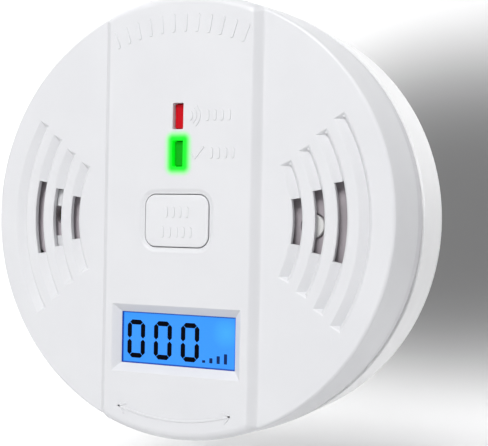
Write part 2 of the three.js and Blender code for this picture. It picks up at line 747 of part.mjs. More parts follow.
// ---------- carbon monoxide sensor ----------
add(
  "co_sensor",
  join(
    rod(SENSOR_X, SENSOR_Z, SENSOR_R, PART_D, SENSOR_D - SENSOR_STEP, FINE),
    rod(SENSOR_X, SENSOR_Z, SENSOR_R - SENSOR_STEP, SENSOR_D - SENSOR_STEP - SINK, SENSOR_D, FINE),
  ),
  GREY,
);
add(
  "co_sensor_filter",
  rod(SENSOR_X, SENSOR_Z, FILTER_R, SENSOR_D + GAP, FILTER_D),
  MEMBRANE,
);

// ---------- small electronics on the board ----------
const chip = ({ x, z, w, h, tall }) => block(x, z, w, h, PART_D, PART_D + tall);

add("microcontroller", chip(CONTROLLER), BLACK);
add("clock_crystal", chip(CRYSTAL), STEEL);
add("driver_transistor", chip(TRANSISTOR), BLACK);
add("boost_coil", tube(COIL.x, COIL.z, COIL.r, COIL.hole, PART_D, PART_D + COIL.tall, COARSE), BLACK);
CAPACITORS.forEach(({ x, z }, i) => {
  add(`supply_capacitor_${i + 1}`, rod(x, z, CAPACITOR_R, PART_D, PART_D + CAPACITOR_H), SLEEVE);
});

export default alarm;
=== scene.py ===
"""Looks of a round carbon monoxide alarm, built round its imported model.

Places are in millimetres: x to the right, z up and "depth" in front of the wall, so y = -depth.
"""

import json
import math

import bmesh
import bpy
import numpy as np
from mathutils import Matrix, Vector
from mathutils.geometry import delaunay_2d_cdt


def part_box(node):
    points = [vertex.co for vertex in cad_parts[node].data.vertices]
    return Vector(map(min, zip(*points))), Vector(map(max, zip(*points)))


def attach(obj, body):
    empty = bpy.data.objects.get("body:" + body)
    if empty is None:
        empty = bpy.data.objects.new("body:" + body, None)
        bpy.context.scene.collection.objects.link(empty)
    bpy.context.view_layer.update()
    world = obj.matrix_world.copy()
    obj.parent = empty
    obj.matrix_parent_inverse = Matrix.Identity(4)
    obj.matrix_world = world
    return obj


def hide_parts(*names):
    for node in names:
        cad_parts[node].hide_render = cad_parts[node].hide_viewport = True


MM = 0.001

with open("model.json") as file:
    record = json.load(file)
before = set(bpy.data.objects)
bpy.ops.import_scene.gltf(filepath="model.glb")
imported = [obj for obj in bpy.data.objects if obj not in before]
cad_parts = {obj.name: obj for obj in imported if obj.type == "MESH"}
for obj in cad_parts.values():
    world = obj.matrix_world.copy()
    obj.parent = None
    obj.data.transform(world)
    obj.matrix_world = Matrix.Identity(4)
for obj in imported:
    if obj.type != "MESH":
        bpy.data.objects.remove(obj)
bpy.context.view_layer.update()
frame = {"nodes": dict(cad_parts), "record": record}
nodes = frame["nodes"]


def span(node):
    """((lowest, highest) x, depth and z) of a CAD node, in millimetres."""
    low, high = (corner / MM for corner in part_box(node))
    return (low.x, high.x), (-high.y, -low.y), (low.z, high.z)


# ---------- camera, in metres ----------
CAMERA_AT = Vector((0.10756, -0.23599, -0.0007))
CAMERA_AIM = Vector((0.01548, -0.0352, -0.0010))
CAMERA_ROLL = math.radians(1.039)
LENS = 76.4


def make_camera():
    data = bpy.data.cameras.new("camera")
    data.lens = LENS
    data.clip_start = 0.01
    camera = bpy.data.objects.new("camera", data)
    forward = (CAMERA_AIM - CAMERA_AT).normalized()
    level = forward.cross(Vector((0, 0, 1))).normalized()
    upright = level.cross(forward)
    right = math.cos(CAMERA_ROLL) * level + math.sin(CAMERA_ROLL) * upright
    up = math.cos(CAMERA_ROLL) * upright - math.sin(CAMERA_ROLL) * level
    turn = Matrix((right, up, -forward)).transposed().to_4x4()
    camera.matrix_world = Matrix.Translation(CAMERA_AT) @ turn
    bpy.context.scene.collection.objects.link(camera)
    bpy.context.scene.camera = camera


make_camera()

# ---------- driving dimensions ----------
GAP = 0.3
WALL = 2.0
THIN = 1.2

COVER_R = span("front_cover")[0][1]
FACE_R = COVER_R - 0.95  # the cover's side leans in towards its face
RING_FRONT_R = span("mounting_base")[0][1]
RING_BACK_R = 49.6
STRIP_R = 49.5
RING_D = span("mounting_base")[1][1]
PARTING_D = span("front_cover")[1][0]
BAND_D = span("front_cover")[1][1]
WING_D = BAND_D - 1.8
WING_EDGE = 0.8
BAND_EDGE = 2.2
BAND_HALF = 17.6
BAND_FOOT = BAND_HALF + BAND_D - WING_D
BAND_SOFT = 0.7
RECESS_X = 16.6
RECESS_Z = 44.0
RECESS_R = 1.5

VENT_R = [27.6, 32.55, 37.5, 42.45]
VENT_HALF = [26.4, 28.0, 29.8, 31.1]
VENT_OPEN = [10.1, 11.7, 12.8, 0]
VENT_Z = -0.5
GROOVE_HALF = 1.3
GROOVE_DEEP = 1.1
GENTLE_RUN, STEEP_RUN, END_RUN = 1.8, 0.8, 1.0  # from a groove's edge to its valley
GENTLE_RIM, STEEP_RIM = 0.5, 0.8  # radius of the rounded edge
SLOT_HALF = 1.0
SLOT_WALL_D = 33.95
SLOT_RELIEF = 0.9

LCD_X, LCD_Z = 14.1, 5.75
LCD_MIDDLE = sum(span("lcd_glass")[2]) / 2
LCD_BEVEL = 1.75
LCD_LAND_D = 35.5
LCD_POCKET_D = 35.4
LCD_CORNER = 0.12
LCD_SOFT = 0.16
LCD_POCKET = 1.2  # how far the pocket behind the window reaches past it

LED_W, LED_H, LED_CORNER, LED_RIM = 2.6, 5.75, 0.25, 0.1
LED_Z = {name: sum(span(name)[2]) / 2 for name in ("alarm_led_red", "operate_led_green")}

BUTTON_W, BUTTON_H, BUTTON_R = 16.1, 12.0, 2.8
BUTTON_Z = -0.8
BUTTON_D = span("test_button")[1][1]
BUTTON_SNUG = 0.1
BUTTON_DISH = 1.25
BUTTON_DISH_DEEP = 0.34
BUTTON_EDGE = 0.07
DISH_STEPS = 8
BUTTON_CROWN = 0.21

POST_X, POST_Z, POST_R = 20.5, 35.5, 3.4
BOARD_SCREW_X, BOARD_SCREW_Z, BOARD_POST_R = 27, 26, 2.8
SCREW_HOLE_R = 1.5
SCREW_SINK_R = 2.7
SCREW_SINK_D = 7.4

BACK_D = 4.9
TUB_R = 46.4
FLANGE_D = 17.0
TONGUE_R = 47.4
TONGUE_D = 23.2
BAY_X, BAY_Z = 29.0, 23.4
BAY_WALL = 1.6
BAY_FLOOR_D = 20.2
BAY_TOP_D = 21.8

PLATE_T = 2.0
SKIRT_IN_R = 48.0
KEYHOLE_X, KEYHOLE_R, KEYHOLE_SLOT_R, KEYHOLE_RUN = 30, 4.0, 2.1, 7.5

LOCK_COUNT, LOCK_FIRST, LUG_HALF, TWIST = 3, 30, 7, 18
SMOOTH_ANGLE = math.radians(38)
SAME_POINT = 1e-7  # two points closer than this are one
SMALLEST_R = 0.01
SINK = 0.2  # how far a rib or a post runs into the wall it stands on
EDGE_MIDDLE = 0.3  # where the middle point of a softened edge is, as a share of its size

# ---------- mesh building ----------


def place(x, depth, z):
    return Vector((x, -depth, z)) * MM


def quarter(steps):
    """The angles of a quarter round, from 0 to 90 degrees, in radians."""
    return [math.pi / 2 * i / steps for i in range(steps + 1)]


def inside(points, loops):
    """Which points are inside loops by the even-odd rule, so a loop in a loop is a hole."""
    points = np.array(points)
    found = np.zeros(len(points), bool)
    for loop in loops:
        a = np.array(loop)
        b = np.roll(a, -1, 0)
        for (x0, z0), (x1, z1) in zip(a, b):
            if z0 == z1:
                continue
            level = (points[:, 1] >= min(z0, z1)) & (points[:, 1] < max(z0, z1))
            cross = x0 + (points[:, 1] - z0) * (x1 - x0) / (z1 - z0)
            found ^= level & (points[:, 0] < cross)
    return found


class Shell:
    """One mesh made of closed outlines, each a list of (x, z) at a depth."""

    def __init__(self):
        self.mesh = bmesh.new()

    def loop(self, outline, depth):
        """Adds an outline at a depth, or at the depths that a list gives."""
        depths = depth if isinstance(depth, list) else [depth] * len(outline)
        return [self.mesh.verts.new(place(x, d, z)) for (x, z), d in zip(outline, depths)]

    def bridge(self, first, second):
        for i, vertex in enumerate(first):
            j = (i + 1) % len(first)
            self.mesh.faces.new((vertex, first[j], second[j], second[i]))
        return second

    def sweep(self, outlines):
        """Joins [(outline, depth)] in turn, and returns the first and the last loop."""
        loops = [self.loop(*outline) for outline in outlines]
        for first, second in zip(loops, loops[1:]):
            self.bridge(first, second)
        return loops[0], loops[-1]

    def fill(self, *loops):
        """Fills the flat region inside the first loop and outside the others."""
        corners = [v for loop in loops for v in loop]
        flat = [[(v.co.x / MM, v.co.z / MM) for v in loop] for loop in loops]
        edges = []
        for loop in loops:
            start = len(edges)
            edges += [(start + i, start + (i + 1) % len(loop)) for i in range(len(loop))]
        points = [Vector(p) for loop in flat for p in loop]
        *_, triangles, sources, _, _ = delaunay_2d_cdt(points, edges, [], 0, SAME_POINT, True)
        faces = [[sources[i][0] for i in face] for face in triangles]
        middles = [sum((points[i] for i in face), Vector((0, 0))) / len(face) for face in faces]
        for face, kept in zip(faces, inside([tuple(m) for m in middles], flat)):
            if kept:
                self.mesh.faces.new([corners[i] for i in face])

    def solid(self, outlines):
        """A closed solid: a sweep with both of its ends filled."""
        first, last = self.sweep(outlines)
        self.fill(first)
        self.fill(last)

    def piece(self, name, material, body="detector"):
        """Makes this shell's object, which stands for the CAD node of its name if there is one."""
        bmesh.ops.recalc_face_normals(self.mesh, faces=self.mesh.faces)
        data = bpy.data.meshes.new(name)
        self.mesh.to_mesh(data)
        self.mesh.free()
        data.shade_smooth()
        data.set_sharp_from_angle(angle=SMOOTH_ANGLE)
        obj = bpy.data.objects.new(name, data)
        obj.data.materials.append(material)
        bpy.context.scene.collection.objects.link(obj)
        weighted = obj.modifiers.new("even shading", "WEIGHTED_NORMAL")
        weighted.keep_sharp = True
        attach(obj, body)
        if name in nodes:
            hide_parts(name)


# ---------- outlines ----------


def arc(x, z, radius, start, end, steps):
    """Points from start to end degrees, counter-clockwise from +x, both ends included."""
    angles = [math.radians(start + (end - start) * i / steps) for i in range(steps + 1)]
    return [(x + radius * math.cos(a), z + radius * math.sin(a)) for a in angles]


def circle(radius, steps=160, x=0.0, z=0.0):
    return arc(x, z, radius, 0, 360, steps)[:-1]


def rounded(x, z, width, height, radius, grow=0.0, steps=8):
    """A rectangle with round corners, grown outwards all round."""
    r = max(radius + grow, SMALLEST_R)
    dx, dz = width / 2 + grow - r, height / 2 + grow - r
    places = [(dx, dz, 0), (-dx, dz, 90), (-dx, -dz, 180), (dx, -dz, 270)]
    return [p for cx, cz, a in places for p in arc(x + cx, z + cz, r, a, a + 90, steps)]


def rim(outline, face, radius, steps=4):
    """The rings of a rounded edge, from a face into a hole: outline is a function of its growth."""
    return [
        (outline(radius * (1 - math.sin(a))), face - radius * (1 - math.cos(a)))
        for a in quarter(steps)
    ]


def soft_edge(r, depth, size, forward=1):
    """Three (radius, depth) points round an outer edge, from its flat to its side."""
    near = EDGE_MIDDLE * size
    return [(r - size, depth), (r - near, depth + forward * near), (r, depth + forward * size)]


def turned(shell, profile, x=0.0, z=0.0, steps=96):
    """A turned solid from (radius, depth) points that start and end on its axis."""
    shell.solid([(circle(r, steps, x, z), depth) for r, depth in profile])


def ring(shell, profile, x=0.0, z=0.0, steps=96):
    """A turned ring from (radius, depth) points that close on themselves."""
    loops = [shell.loop(circle(r, steps, x, z), depth) for r, depth in profile]
    for first, second in zip(loops, [*loops[1:], loops[0]]):
        shell.bridge(first, second)


def corners(x, z):
    return [(x, z), (-x, z), (-x, -z), (x, -z)]


# ---------- materials ----------


MIX_A, MIX_B, MIX_RESULT = 6, 7, 2  # the colour sockets of a Mix node


class Finish:
    """A procedural material: a Principled shader with noise for colour, gloss and relief."""

    def __init__(self, name, **sockets):
        self.material = bpy.data.materials.new(name)
        self.material.use_nodes = True
        self.tree = self.material.node_tree
        self.shader = self.tree.nodes["Principled BSDF"]
        for socket, value in sockets.items():
            self.shader.inputs[socket.replace("_", " ")].default_value = value
        self.place = self.add("ShaderNodeTexCoord").outputs["Object"]

    def add(self, kind, **values):
        node = self.tree.nodes.new(kind)
        for key, value in values.items():
            setattr(node, key, value)
        return node

    def link(self, source, target):
        """Links an output to a socket, or sets the socket to a number or a colour."""
        if isinstance(source, (int, float, tuple)):
            target.default_value = source
        else:
            self.tree.links.new(source, target)

    def noise(self, size, detail=2.0, stretch=(1, 1, 1)):
        """Noise whose features are about size millimetres across."""
        mapping = self.add("ShaderNodeMapping")
        mapping.inputs["Scale"].default_value = stretch
        self.link(self.place, mapping.inputs["Vector"])
        noise = self.add("ShaderNodeTexNoise")
        noise.inputs["Scale"].default_value = 1 / (size * MM)
        noise.inputs["Detail"].default_value = detail
        self.link(mapping.outputs["Vector"], noise.inputs["Vector"])
        return noise.outputs["Fac"]

    def ramp(self, source, low, high, start=0.3, end=0.7):
        ramp = self.add("ShaderNodeValToRGB")
        for stop, position, colour in zip(ramp.color_ramp.elements, (start, end), (low, high)):
            stop.position, stop.color = position, (*colour, 1)
        self.link(source, ramp.inputs["Fac"])
        return ramp.outputs["Color"]

    def colour(self, low, high, size=9.0, stretch=(1, 1, 1)):
        tint = self.ramp(self.noise(size, 3.0, stretch), low, high)
        self.link(tint, self.shader.inputs["Base Color"])
        return self

    def gloss(self, low, high, size=2.0, stretch=(1, 1, 1)):
        span_node = self.add("ShaderNodeMapRange")
        span_node.inputs["To Min"].default_value = low
        span_node.inputs["To Max"].default_value = high
        self.link(self.noise(size, 2.0, stretch), span_node.inputs["Value"])
        self.link(span_node.outputs["Result"], self.shader.inputs["Roughness"])
        return self

    def relief(self, size, height, strength=1.0, stretch=(1, 1, 1)):
        """Fine surface texture, with size and height in millimetres."""
        bump = self.add("ShaderNodeBump")
        bump.inputs["Distance"].default_value = height * MM
        bump.inputs["Strength"].default_value = strength
        self.link(self.noise(size, 2.0, stretch), bump.inputs["Height"])
        self.link(bump.outputs["Normal"], self.shader.inputs["Normal"])
        return self

    def box_distance(self, x, z, half_x, half_z):
        """Distance in millimetres outside a rectangle on the face; below 0 inside it."""
        axes = self.add("ShaderNodeSeparateXYZ")
        self.link(self.place, axes.inputs["Vector"])
        away = []
        for axis, middle, half in (("X", x, half_x), ("Z", z, half_z)):
            offset = self.maths("SUBTRACT", axes.outputs[axis], middle * MM)
            reach = self.maths("SUBTRACT", self.maths("ABSOLUTE", offset), half * MM)
            away.append(self.maths("DIVIDE", reach, MM))
        squares = [self.maths("POWER", self.maths("MAXIMUM", a, 0.0), 2.0) for a in away]
        outside = self.maths("SQRT", self.maths("ADD", *squares))
        within = self.maths("MINIMUM", self.maths("MAXIMUM", *away), 0.0)
        return self.maths("ADD", outside, within)

    def maths(self, operation, *values):
        node = self.add("ShaderNodeMath", operation=operation)
        for value, target in zip(values, node.inputs):
            self.link(value, target)
        return node.outputs["Value"]

    def fade(self, source, start, end, low, high):
        """A smooth step from low to high as source goes from start to end."""
        node = self.add("ShaderNodeMapRange", interpolation_type="SMOOTHSTEP")
        values = {"From Min": start, "From Max": end, "To Min": low, "To Max": high}
        for socket, value in values.items():
            node.inputs[socket].default_value = value
        self.link(source, node.inputs["Value"])
        return node.outputs["Result"]

    def blend(self, factor, first, second, blend_type="MIX"):
        """Mixes two colours by a factor."""
        node = self.add("ShaderNodeMix", data_type="RGBA", blend_type=blend_type)
        for value, socket in ((factor, "Factor"), (first, MIX_A), (second, MIX_B)):
            self.link(value, node.inputs[socket])
        return node.outputs[MIX_RESULT]


CYAN_AT, CYAN_REACH = (11.7, -24.8), 3.2
GLOW_X = 0.2
GLOW_FULL, GLOW_END = 0.4, 2.45  # painted glow: millimetres round the green window over which the cover is tinted green and made to emit, as where the lit window shines through the plastic
PAINTED_GLOW_GREEN = (0.0, 0.62, 0.015, 1)
PAINTED_GLOW_LIGHT = (0.0, 0.45, 0.004)


def cover_plastic():
    look = Finish("white_plastic", Specular_IOR_Level=0.42, Emission_Strength=1.0)
    look.gloss(0.36, 0.44, 3.0).relief(0.28, 0.006, 0.35)
    # painted glow: near the green window the cover's colour turns green and it emits green light,
    # though the cover is no lamp
    away = look.box_distance(GLOW_X, LED_Z["operate_led_green"], LED_W / 2, LED_H / 2)
    near = look.fade(away, GLOW_FULL, GLOW_END, 1.0, 0.0)
    tint = look.ramp(look.noise(14.0, 3.0), (0.630, 0.633, 0.650), (0.648, 0.651, 0.666))
    green = look.blend(near, tint, PAINTED_GLOW_GREEN)
    look.link(green, look.shader.inputs["Base Color"])
    shine = look.ramp(near, (0.0, 0.0, 0.0), PAINTED_GLOW_LIGHT, 0.0, 1.0)
    look.link(shine, look.shader.inputs["Emission Color"])
    return look.material


def plain_plastic(name, low, high, roughness=0.45, grain=0.3, shine=0.4, sheen=0.0):
    look = Finish(name, Specular_IOR_Level=shine, Sheen_Weight=sheen)
    look.colour(low, high, 8.0).gloss(roughness - 0.05, roughness + 0.05)
    return look.relief(grain, 0.01, 0.5).material


def display_glass():
    """The lit display: blue, a little cyan near one end, with a dark line round its edge."""
    look = Finish("display_glass", Roughness=0.2, Specular_IOR_Level=0.3, Emission_Strength=1.0)
    look.shader.inputs["Base Color"].default_value = (0.004, 0.02, 0.08, 1)
    spot = look.box_distance(*CYAN_AT, 0.3, 0.3)
    away = look.maths("DIVIDE", spot, CYAN_REACH)
    tint = look.ramp(away, (0.045, 0.40, 1.0), (0.030, 0.30, 1.0), 0.0, 1.0)
    edge = look.maths("ADD", look.box_distance(0, LCD_MIDDLE, LCD_X, LCD_Z), 1.0)
    line = look.ramp(edge, (1.0, 1.0, 1.0), (0.03, 0.08, 0.30), 0.55, 0.92)
    look.link(look.blend(1.0, tint, line, "MULTIPLY"), look.shader.inputs["Emission Color"])
    return look.material


def lens(name, base, glow, strength):
    look = Finish(name, Roughness=0.3, Specular_IOR_Level=0.25, Emission_Strength=strength)
    look.colour(tuple(0.9 * c for c in base), base, 1.5)
    look.shader.inputs["Emission Color"].default_value = (*glow, 1)
    return look.relief(0.5, 0.004, 0.3).material


def metal(name, low, high, roughness):
    look = Finish(name, Metallic=1.0).colour(low, high, 3.0)
    return look.gloss(roughness - 0.06, roughness + 0.06, 0.6).material


def board():
    look = Finish("circuit_board", Specular_IOR_Level=0.5)
    look.colour((0.012, 0.075, 0.035), (0.022, 0.115, 0.055), 1.6, (1, 1, 0.25))
    return look.gloss(0.28, 0.42, 1.2).relief(0.7, 0.03, 0.6, (1, 1, 0.3)).material


COVER = cover_plastic()
BASE = plain_plastic("base_plastic", (0.76, 0.76, 0.765), (0.80, 0.80, 0.805), 0.55, 1.0, sheen=0.5)
GREY = plain_plastic("grey_plastic", (0.43, 0.39, 0.42), (0.50, 0.46, 0.49), 0.55)
MEMBRANE = plain_plastic("filter_membrane", (0.68, 0.68, 0.67), (0.74, 0.74, 0.73), 0.8, 0.15)
SEGMENT = plain_plastic("display_segment", (0.0, 0.0, 0.002), (0.001, 0.001, 0.004), 0.8, 0.3, 0.05)
NAVY = plain_plastic("display_unit", (0.006, 0.02, 0.09), (0.008, 0.025, 0.11), 0.8, 0.3, 0.05)
SCREEN = plain_plastic("vent_screen", (0.34, 0.31, 0.33), (0.42, 0.38, 0.41), 0.7, 0.5)
RED = lens("red_lens", (0.42, 0.0, 0.006), (1.0, 0.0, 0.01), 0.12)
GREEN = lens("green_lens", (0.0, 0.22, 0.004), (0.0, 1.0, 0.0), 0.16)

# ---------- front cover ----------
TURN = BAND_SOFT * math.tan(math.radians(22.5))  # where the band's slope starts to bend
BAND_BEND = BAND_SOFT * math.sin(math.radians(45))


def face_depth(x):
    """Depth of the front face: the raised band, its sloped side and the flat beside it."""
    x = abs(x)
    top, foot = BAND_HALF - TURN, BAND_FOOT + TURN
    if x <= top:
        return BAND_D
    if x < top + BAND_BEND:
        return BAND_D - BAND_SOFT + math.sqrt(BAND_SOFT**2 - (x - top) ** 2)
    if x < foot - BAND_BEND:
        return BAND_D - (x - BAND_HALF)
    if x < foot:
        return WING_D + BAND_SOFT - math.sqrt(BAND_SOFT**2 - (foot - x) ** 2)
    return WING_D


def edge_radius(x):
    """Rounding of the cover's outer edge, larger at the ends of the band."""
    share = (face_depth(x) - WING_D) / (BAND_D - WING_D)
    return WING_EDGE + share * (BAND_EDGE - WING_EDGE)


EDGE_STEPS = 8
EDGE_PASSES = 3  # the radius depends on where the edge is, so it is found in a few passes
COVER_FOOT = [(0.0, 0.3), (0.1, 0.08), (0.3, 0.0), (WALL, 0.0)]  # in from the side, up from the rear
SLOPE_STEPS = 16
SLOPE_X = [
    BAND_HALF - TURN + (BAND_FOOT - BAND_HALF + 2 * TURN) * i / SLOPE_STEPS
    for i in range(SLOPE_STEPS + 1)
]
BAND_STEPS = 24
WING_STEPS = 88


def perimeter():
    """Angles from the top, clockwise, at which the cover's edge is drawn, through one turn."""
    slope = [math.asin(x / (FACE_R - edge_radius(x))) for x in SLOPE_X]
    first, last = slope[0], slope[-1]
    top = [first * i / BAND_STEPS for i in range(1, BAND_STEPS)]
    side = [last + (math.pi - 2 * last) * i / WING_STEPS for i in range(1, WING_STEPS)]
    right = top + slope + side + [math.pi - a for a in reversed(slope)]
    right += [math.pi - a for a in reversed(top)]
    return [0.0, *right, math.pi, *[2 * math.pi - a for a in reversed(right)]]


def cover_rings(angles):
    """The rings of the cover's rounded outer edge, from its face to its side wall."""
    rings = []
    for turn in quarter(EDGE_STEPS):
        outline, depths = [], []
        for a in angles:
            radius = edge_radius((FACE_R - BAND_EDGE) * math.sin(a))
            for _ in range(EDGE_PASSES):
                radius = edge_radius((FACE_R - radius) * math.sin(a))
            r = FACE_R - radius * (1 - math.sin(turn))
            x = r * math.sin(a)
            outline.append((x, r * math.cos(a)))
            depths.append(face_depth(x) - radius * (1 - math.cos(turn)))
        rings.append((outline, depths))
    return rings


def front_face(shell, edge, band_holes, wing_holes):
    """The band, its two slopes and the two flats, inside the loop of the rounded edge."""
    n = len(edge)
    half = n // 2
    first, last = BAND_STEPS, BAND_STEPS + SLOPE_STEPS
    band = edge[: first + 1] + edge[half - first : half + first + 1] + edge[n - first :]
    shell.fill(band, *band_holes)
    for i in range(first, last):
        for near, far in ((i, half - i), (n - i, half + i)):
            step = 1 if near == i else -1
            quad = (edge[near], edge[near + step], edge[far - step], edge[far])
            shell.mesh.faces.new(quad)
    shell.fill(edge[last : half - last + 1], *wing_holes[1])
    shell.fill(edge[half + last : n - last + 1], *wing_holes[-1])


RIM_STEPS = 5
ARC_PITCH = 0.9


def reach(depth, run, radius):
    """How far inside a groove's edge its wall is at that depth, where the edge is rounded."""
    slope = math.atan(GROOVE_DEEP / run)
    if depth < radius * (1 - math.cos(slope)):
        return math.sqrt(radius**2 - (radius - depth) ** 2) - radius * math.tan(slope / 2)
    return depth / math.tan(slope)


def groove_levels():
    """The depths at which a groove is drawn, from its rounded edge to its valley."""
    steep = math.atan(GROOVE_DEEP / STEEP_RUN)
    rim = [STEEP_RIM * (1 - math.cos(steep * i / RIM_STEPS)) for i in range(RIM_STEPS + 1)]
    beside = [(GROOVE_HALF - SLOT_HALF) * GROOVE_DEEP / run for run in (GENTLE_RUN, STEEP_RUN)]
    return sorted({*rim, *beside, GROOVE_DEEP})


def groove_length(length, stop):
    """[(place, depth)] along a groove from end to end, with a line where its slot stops."""
    half = [(length - reach(d, END_RUN, GENTLE_RIM), d) for d in groove_levels()]
    marks = sorted({length - END_RUN, stop, 0.0}, reverse=True)
    for high, low in zip(marks, marks[1:]):
        count = max(1, round((high - low) / ARC_PITCH))
        half += [(high - (high - low) * i / count, GROOVE_DEEP) for i in range(1, count + 1)]
    return half + [(-place, d) for place, d in reversed(half[:-1])]


def groove_width():
    """[(place, depth)] across a groove: a gentle slope down, then a steep wall."""
    levels = groove_levels()
    gentle = [(reach(d, GENTLE_RUN, GENTLE_RIM) - GROOVE_HALF, d) for d in levels]
    steep = [(GROOVE_HALF - reach(d, STEEP_RUN, STEEP_RIM), d) for d in levels[:-1]]
    return gentle + steep[::-1]


def groove(shell, side, radius, half, opening):
    """One groove with sloped ends, and the slot through it: its outer loop and inner loop."""
    length, stop = radius * math.radians(half), radius * math.radians(opening)
    along, across = groove_length(length, stop), groove_width()
    rows, columns = len(along), len(across)

    def vertex(u, v, depth):
        r = radius + side * v
        angle = u / radius
        x, z = side * r * math.cos(angle), VENT_Z + r * math.sin(angle)
        return shell.mesh.verts.new(place(x, depth, z))

    grid = [[vertex(u, v, WING_D - min(d, e)) for v, e in across] for u, d in along]

    def is_open(i, j):
        middle_u = (along[i][0] + along[i + 1][0]) / 2
        middle_v = (across[j][0] + across[j + 1][0]) / 2
        return abs(middle_u) < stop and abs(middle_v) < SLOT_HALF

    for i in range(rows - 1):
        for j in range(columns - 1):
            a, b, c, d = grid[i][j], grid[i + 1][j], grid[i + 1][j + 1], grid[i][j + 1]
            if is_open(i, j):
                continue
            if min(i, rows - 2 - i) != min(j, columns - 2 - j):
                shell.mesh.faces.new((a, b, c, d))
                continue
            falling = (i < rows / 2) == (j < columns / 2)
            for corner in ((a, b, c), (a, c, d)) if falling else ((a, b, d), (b, c, d)):
                shell.mesh.faces.new(corner)
    outer = grid[0][:-1] + [row[-1] for row in grid[:-1]]
    outer += grid[-1][:0:-1] + [row[0] for row in grid[:0:-1]]
    if not opening:
        return outer, None
    i0 = next(i for i, (u, _) in enumerate(along) if math.isclose(u, stop))
    j0 = next(j for j, (v, _) in enumerate(across) if math.isclose(v, -SLOT_HALF))
    j1 = next(j for j, (v, _) in enumerate(across) if math.isclose(v, SLOT_HALF))
    i1 = rows - 1 - i0
    path = [(i0, j) for j in range(j0, j1)] + [(i, j1) for i in range(i0, i1)]
    path += [(i1, j) for j in range(j1, j0, -1)] + [(i, j0) for i in range(i1, i0, -1)]

    def below(depth, grow):
        long, wide = 1 + grow / stop, 1 + grow / SLOT_HALF
        return [vertex(along[i][0] * long, across[j][0] * wide, depth) for i, j in path]

    loop = [grid[i][j] for i, j in path]
    for depth, grow in ((SLOT_WALL_D, 0), (SLOT_WALL_D, SLOT_RELIEF), (WING_D - WALL, SLOT_RELIEF)):
        loop = shell.bridge(loop, below(depth, grow))
    return outer, loop


def vents(shell, side):
    """Cuts one side's vents, and returns their loops at the outer face and at the inner face."""
    made = [groove(shell, side, *numbers) for numbers in zip(VENT_R, VENT_HALF, VENT_OPEN)]
    return [outer for outer, _ in made], [inner for _, inner in made if inner]


def display_opening(shell):
    """The bevelled display opening through the band."""
    def window(grow):
        width, height = 2 * (LCD_X + grow), 2 * (LCD_Z + grow)
        return rounded(0, LCD_MIDDLE, width, height, LCD_CORNER, 0.0, 3)

    slope = (BAND_D - LCD_LAND_D) / LCD_BEVEL
    inner = 0.7 * LCD_SOFT
    rings = [
        (window(LCD_BEVEL + LCD_SOFT), BAND_D),
        (window(LCD_BEVEL + 0.3 * LCD_SOFT), BAND_D - 0.12 * LCD_SOFT),
        (window(LCD_BEVEL - inner), BAND_D - inner * slope),
        (window(inner), LCD_LAND_D + inner * slope),
        (window(0.0), LCD_LAND_D),
        (window(0.0), LCD_POCKET_D),
        (window(LCD_POCKET), LCD_POCKET_D),
        (window(LCD_POCKET), BAND_D - WALL),
    ]
    return shell.sweep(rings)


def button_opening(shell):
    """The button's hole, with the shallow dish round it."""
    def hole(grow):
        return rounded(0, BUTTON_Z, BUTTON_W, BUTTON_H, BUTTON_R, grow - BUTTON_SNUG)

    dish = []
    for i in range(DISH_STEPS):
        t = i / DISH_STEPS
        sink = BUTTON_DISH_DEEP * (1 - math.cos(math.pi * t)) / 2
        grow = BUTTON_EDGE + (BUTTON_DISH - BUTTON_EDGE) * (1 - t)
        dish.append((hole(grow), BAND_D - sink))
    dish += rim(hole, BAND_D - BUTTON_DISH_DEEP, BUTTON_EDGE, 3)
    dish.append((hole(0.0), BAND_D - WALL))
    return shell.sweep(dish)


def light_opening(shell, z):
    def window(grow):
        return rounded(0, z, LED_W, LED_H, LED_CORNER, grow, 4)

    return shell.sweep([*rim(window, BAND_D, LED_RIM, 3), (window(0.0), BAND_D - WALL)])


def front_cover():
    shell = Shell()
    angles = perimeter()
    around = [(math.sin(a), math.cos(a)) for a in angles]

    def round_at(radius):
        return [(radius * x, radius * z) for x, z in around]

    rings = cover_rings(angles)
    rings += [(round_at(COVER_R - inward), PARTING_D + up) for inward, up in COVER_FOOT]
    rings += [(round_at(COVER_R - WALL), WING_D - WALL)]
    edge, inner_edge = shell.sweep(rings)
    openings = [display_opening(shell), button_opening(shell)]
    openings += [light_opening(shell, z) for z in LED_Z.values()]
    wing_holes, inner_slots = {}, []
    for side in (1, -1):
        wing_holes[side], slots = vents(shell, side)
        inner_slots += slots
    front_face(shell, edge, [outer for outer, _ in openings], wing_holes)
    hollow = rounded(0, 0, 2 * RECESS_X, 2 * RECESS_Z, RECESS_R)
    low, high = shell.sweep([(hollow, WING_D - WALL), (hollow, BAND_D - WALL)])
    shell.fill(high, *[inner for _, inner in openings])
    shell.fill(inner_edge, low, *inner_slots)
    shell.piece("front_cover", COVER)


front_cover()


ON_BOARD_D = 26.3  # the front of the circuit board
POST_SOFT = 0.25
POST_DRAFT = 0.1
TABS_X, TABS_W, TABS_D, TABS_R = -33.0, 3.6, 32.6, 0.2
TABS_Z = [(-7.9, -4.7), (2.2, 5.9)]


def cover_posts():
    """The screw posts inside the cover, and two tabs beside the sounder."""
    shell = Shell()
    end = WING_D - WALL + SINK
    for places, radius, start in (
        (corners(POST_X, POST_Z), POST_R, TONGUE_D + GAP),
        (corners(BOARD_SCREW_X, BOARD_SCREW_Z), BOARD_POST_R, ON_BOARD_D),
    ):
        for x, z in places:
            profile = [(SCREW_HOLE_R, start), (radius - POST_SOFT, start)]
            profile += [(radius, start + POST_SOFT), (radius + POST_DRAFT, end), (SCREW_HOLE_R, end)]
            ring(shell, profile, x, z, 40)
    for low, high in TABS_Z:
        tab = rounded(TABS_X, (low + high) / 2, TABS_W, high - low, TABS_R, 0.0, 3)
        shell.solid([(tab, TABS_D), (tab, end)])
    shell.piece("cover_posts", COVER)


cover_posts()

# ---------- embossed marks ----------
MARK_H = 0.14
MARK_SINK = 0.1
MARK_STEP = 0.2 * MARK_H
MARK_BEVEL = 0.07


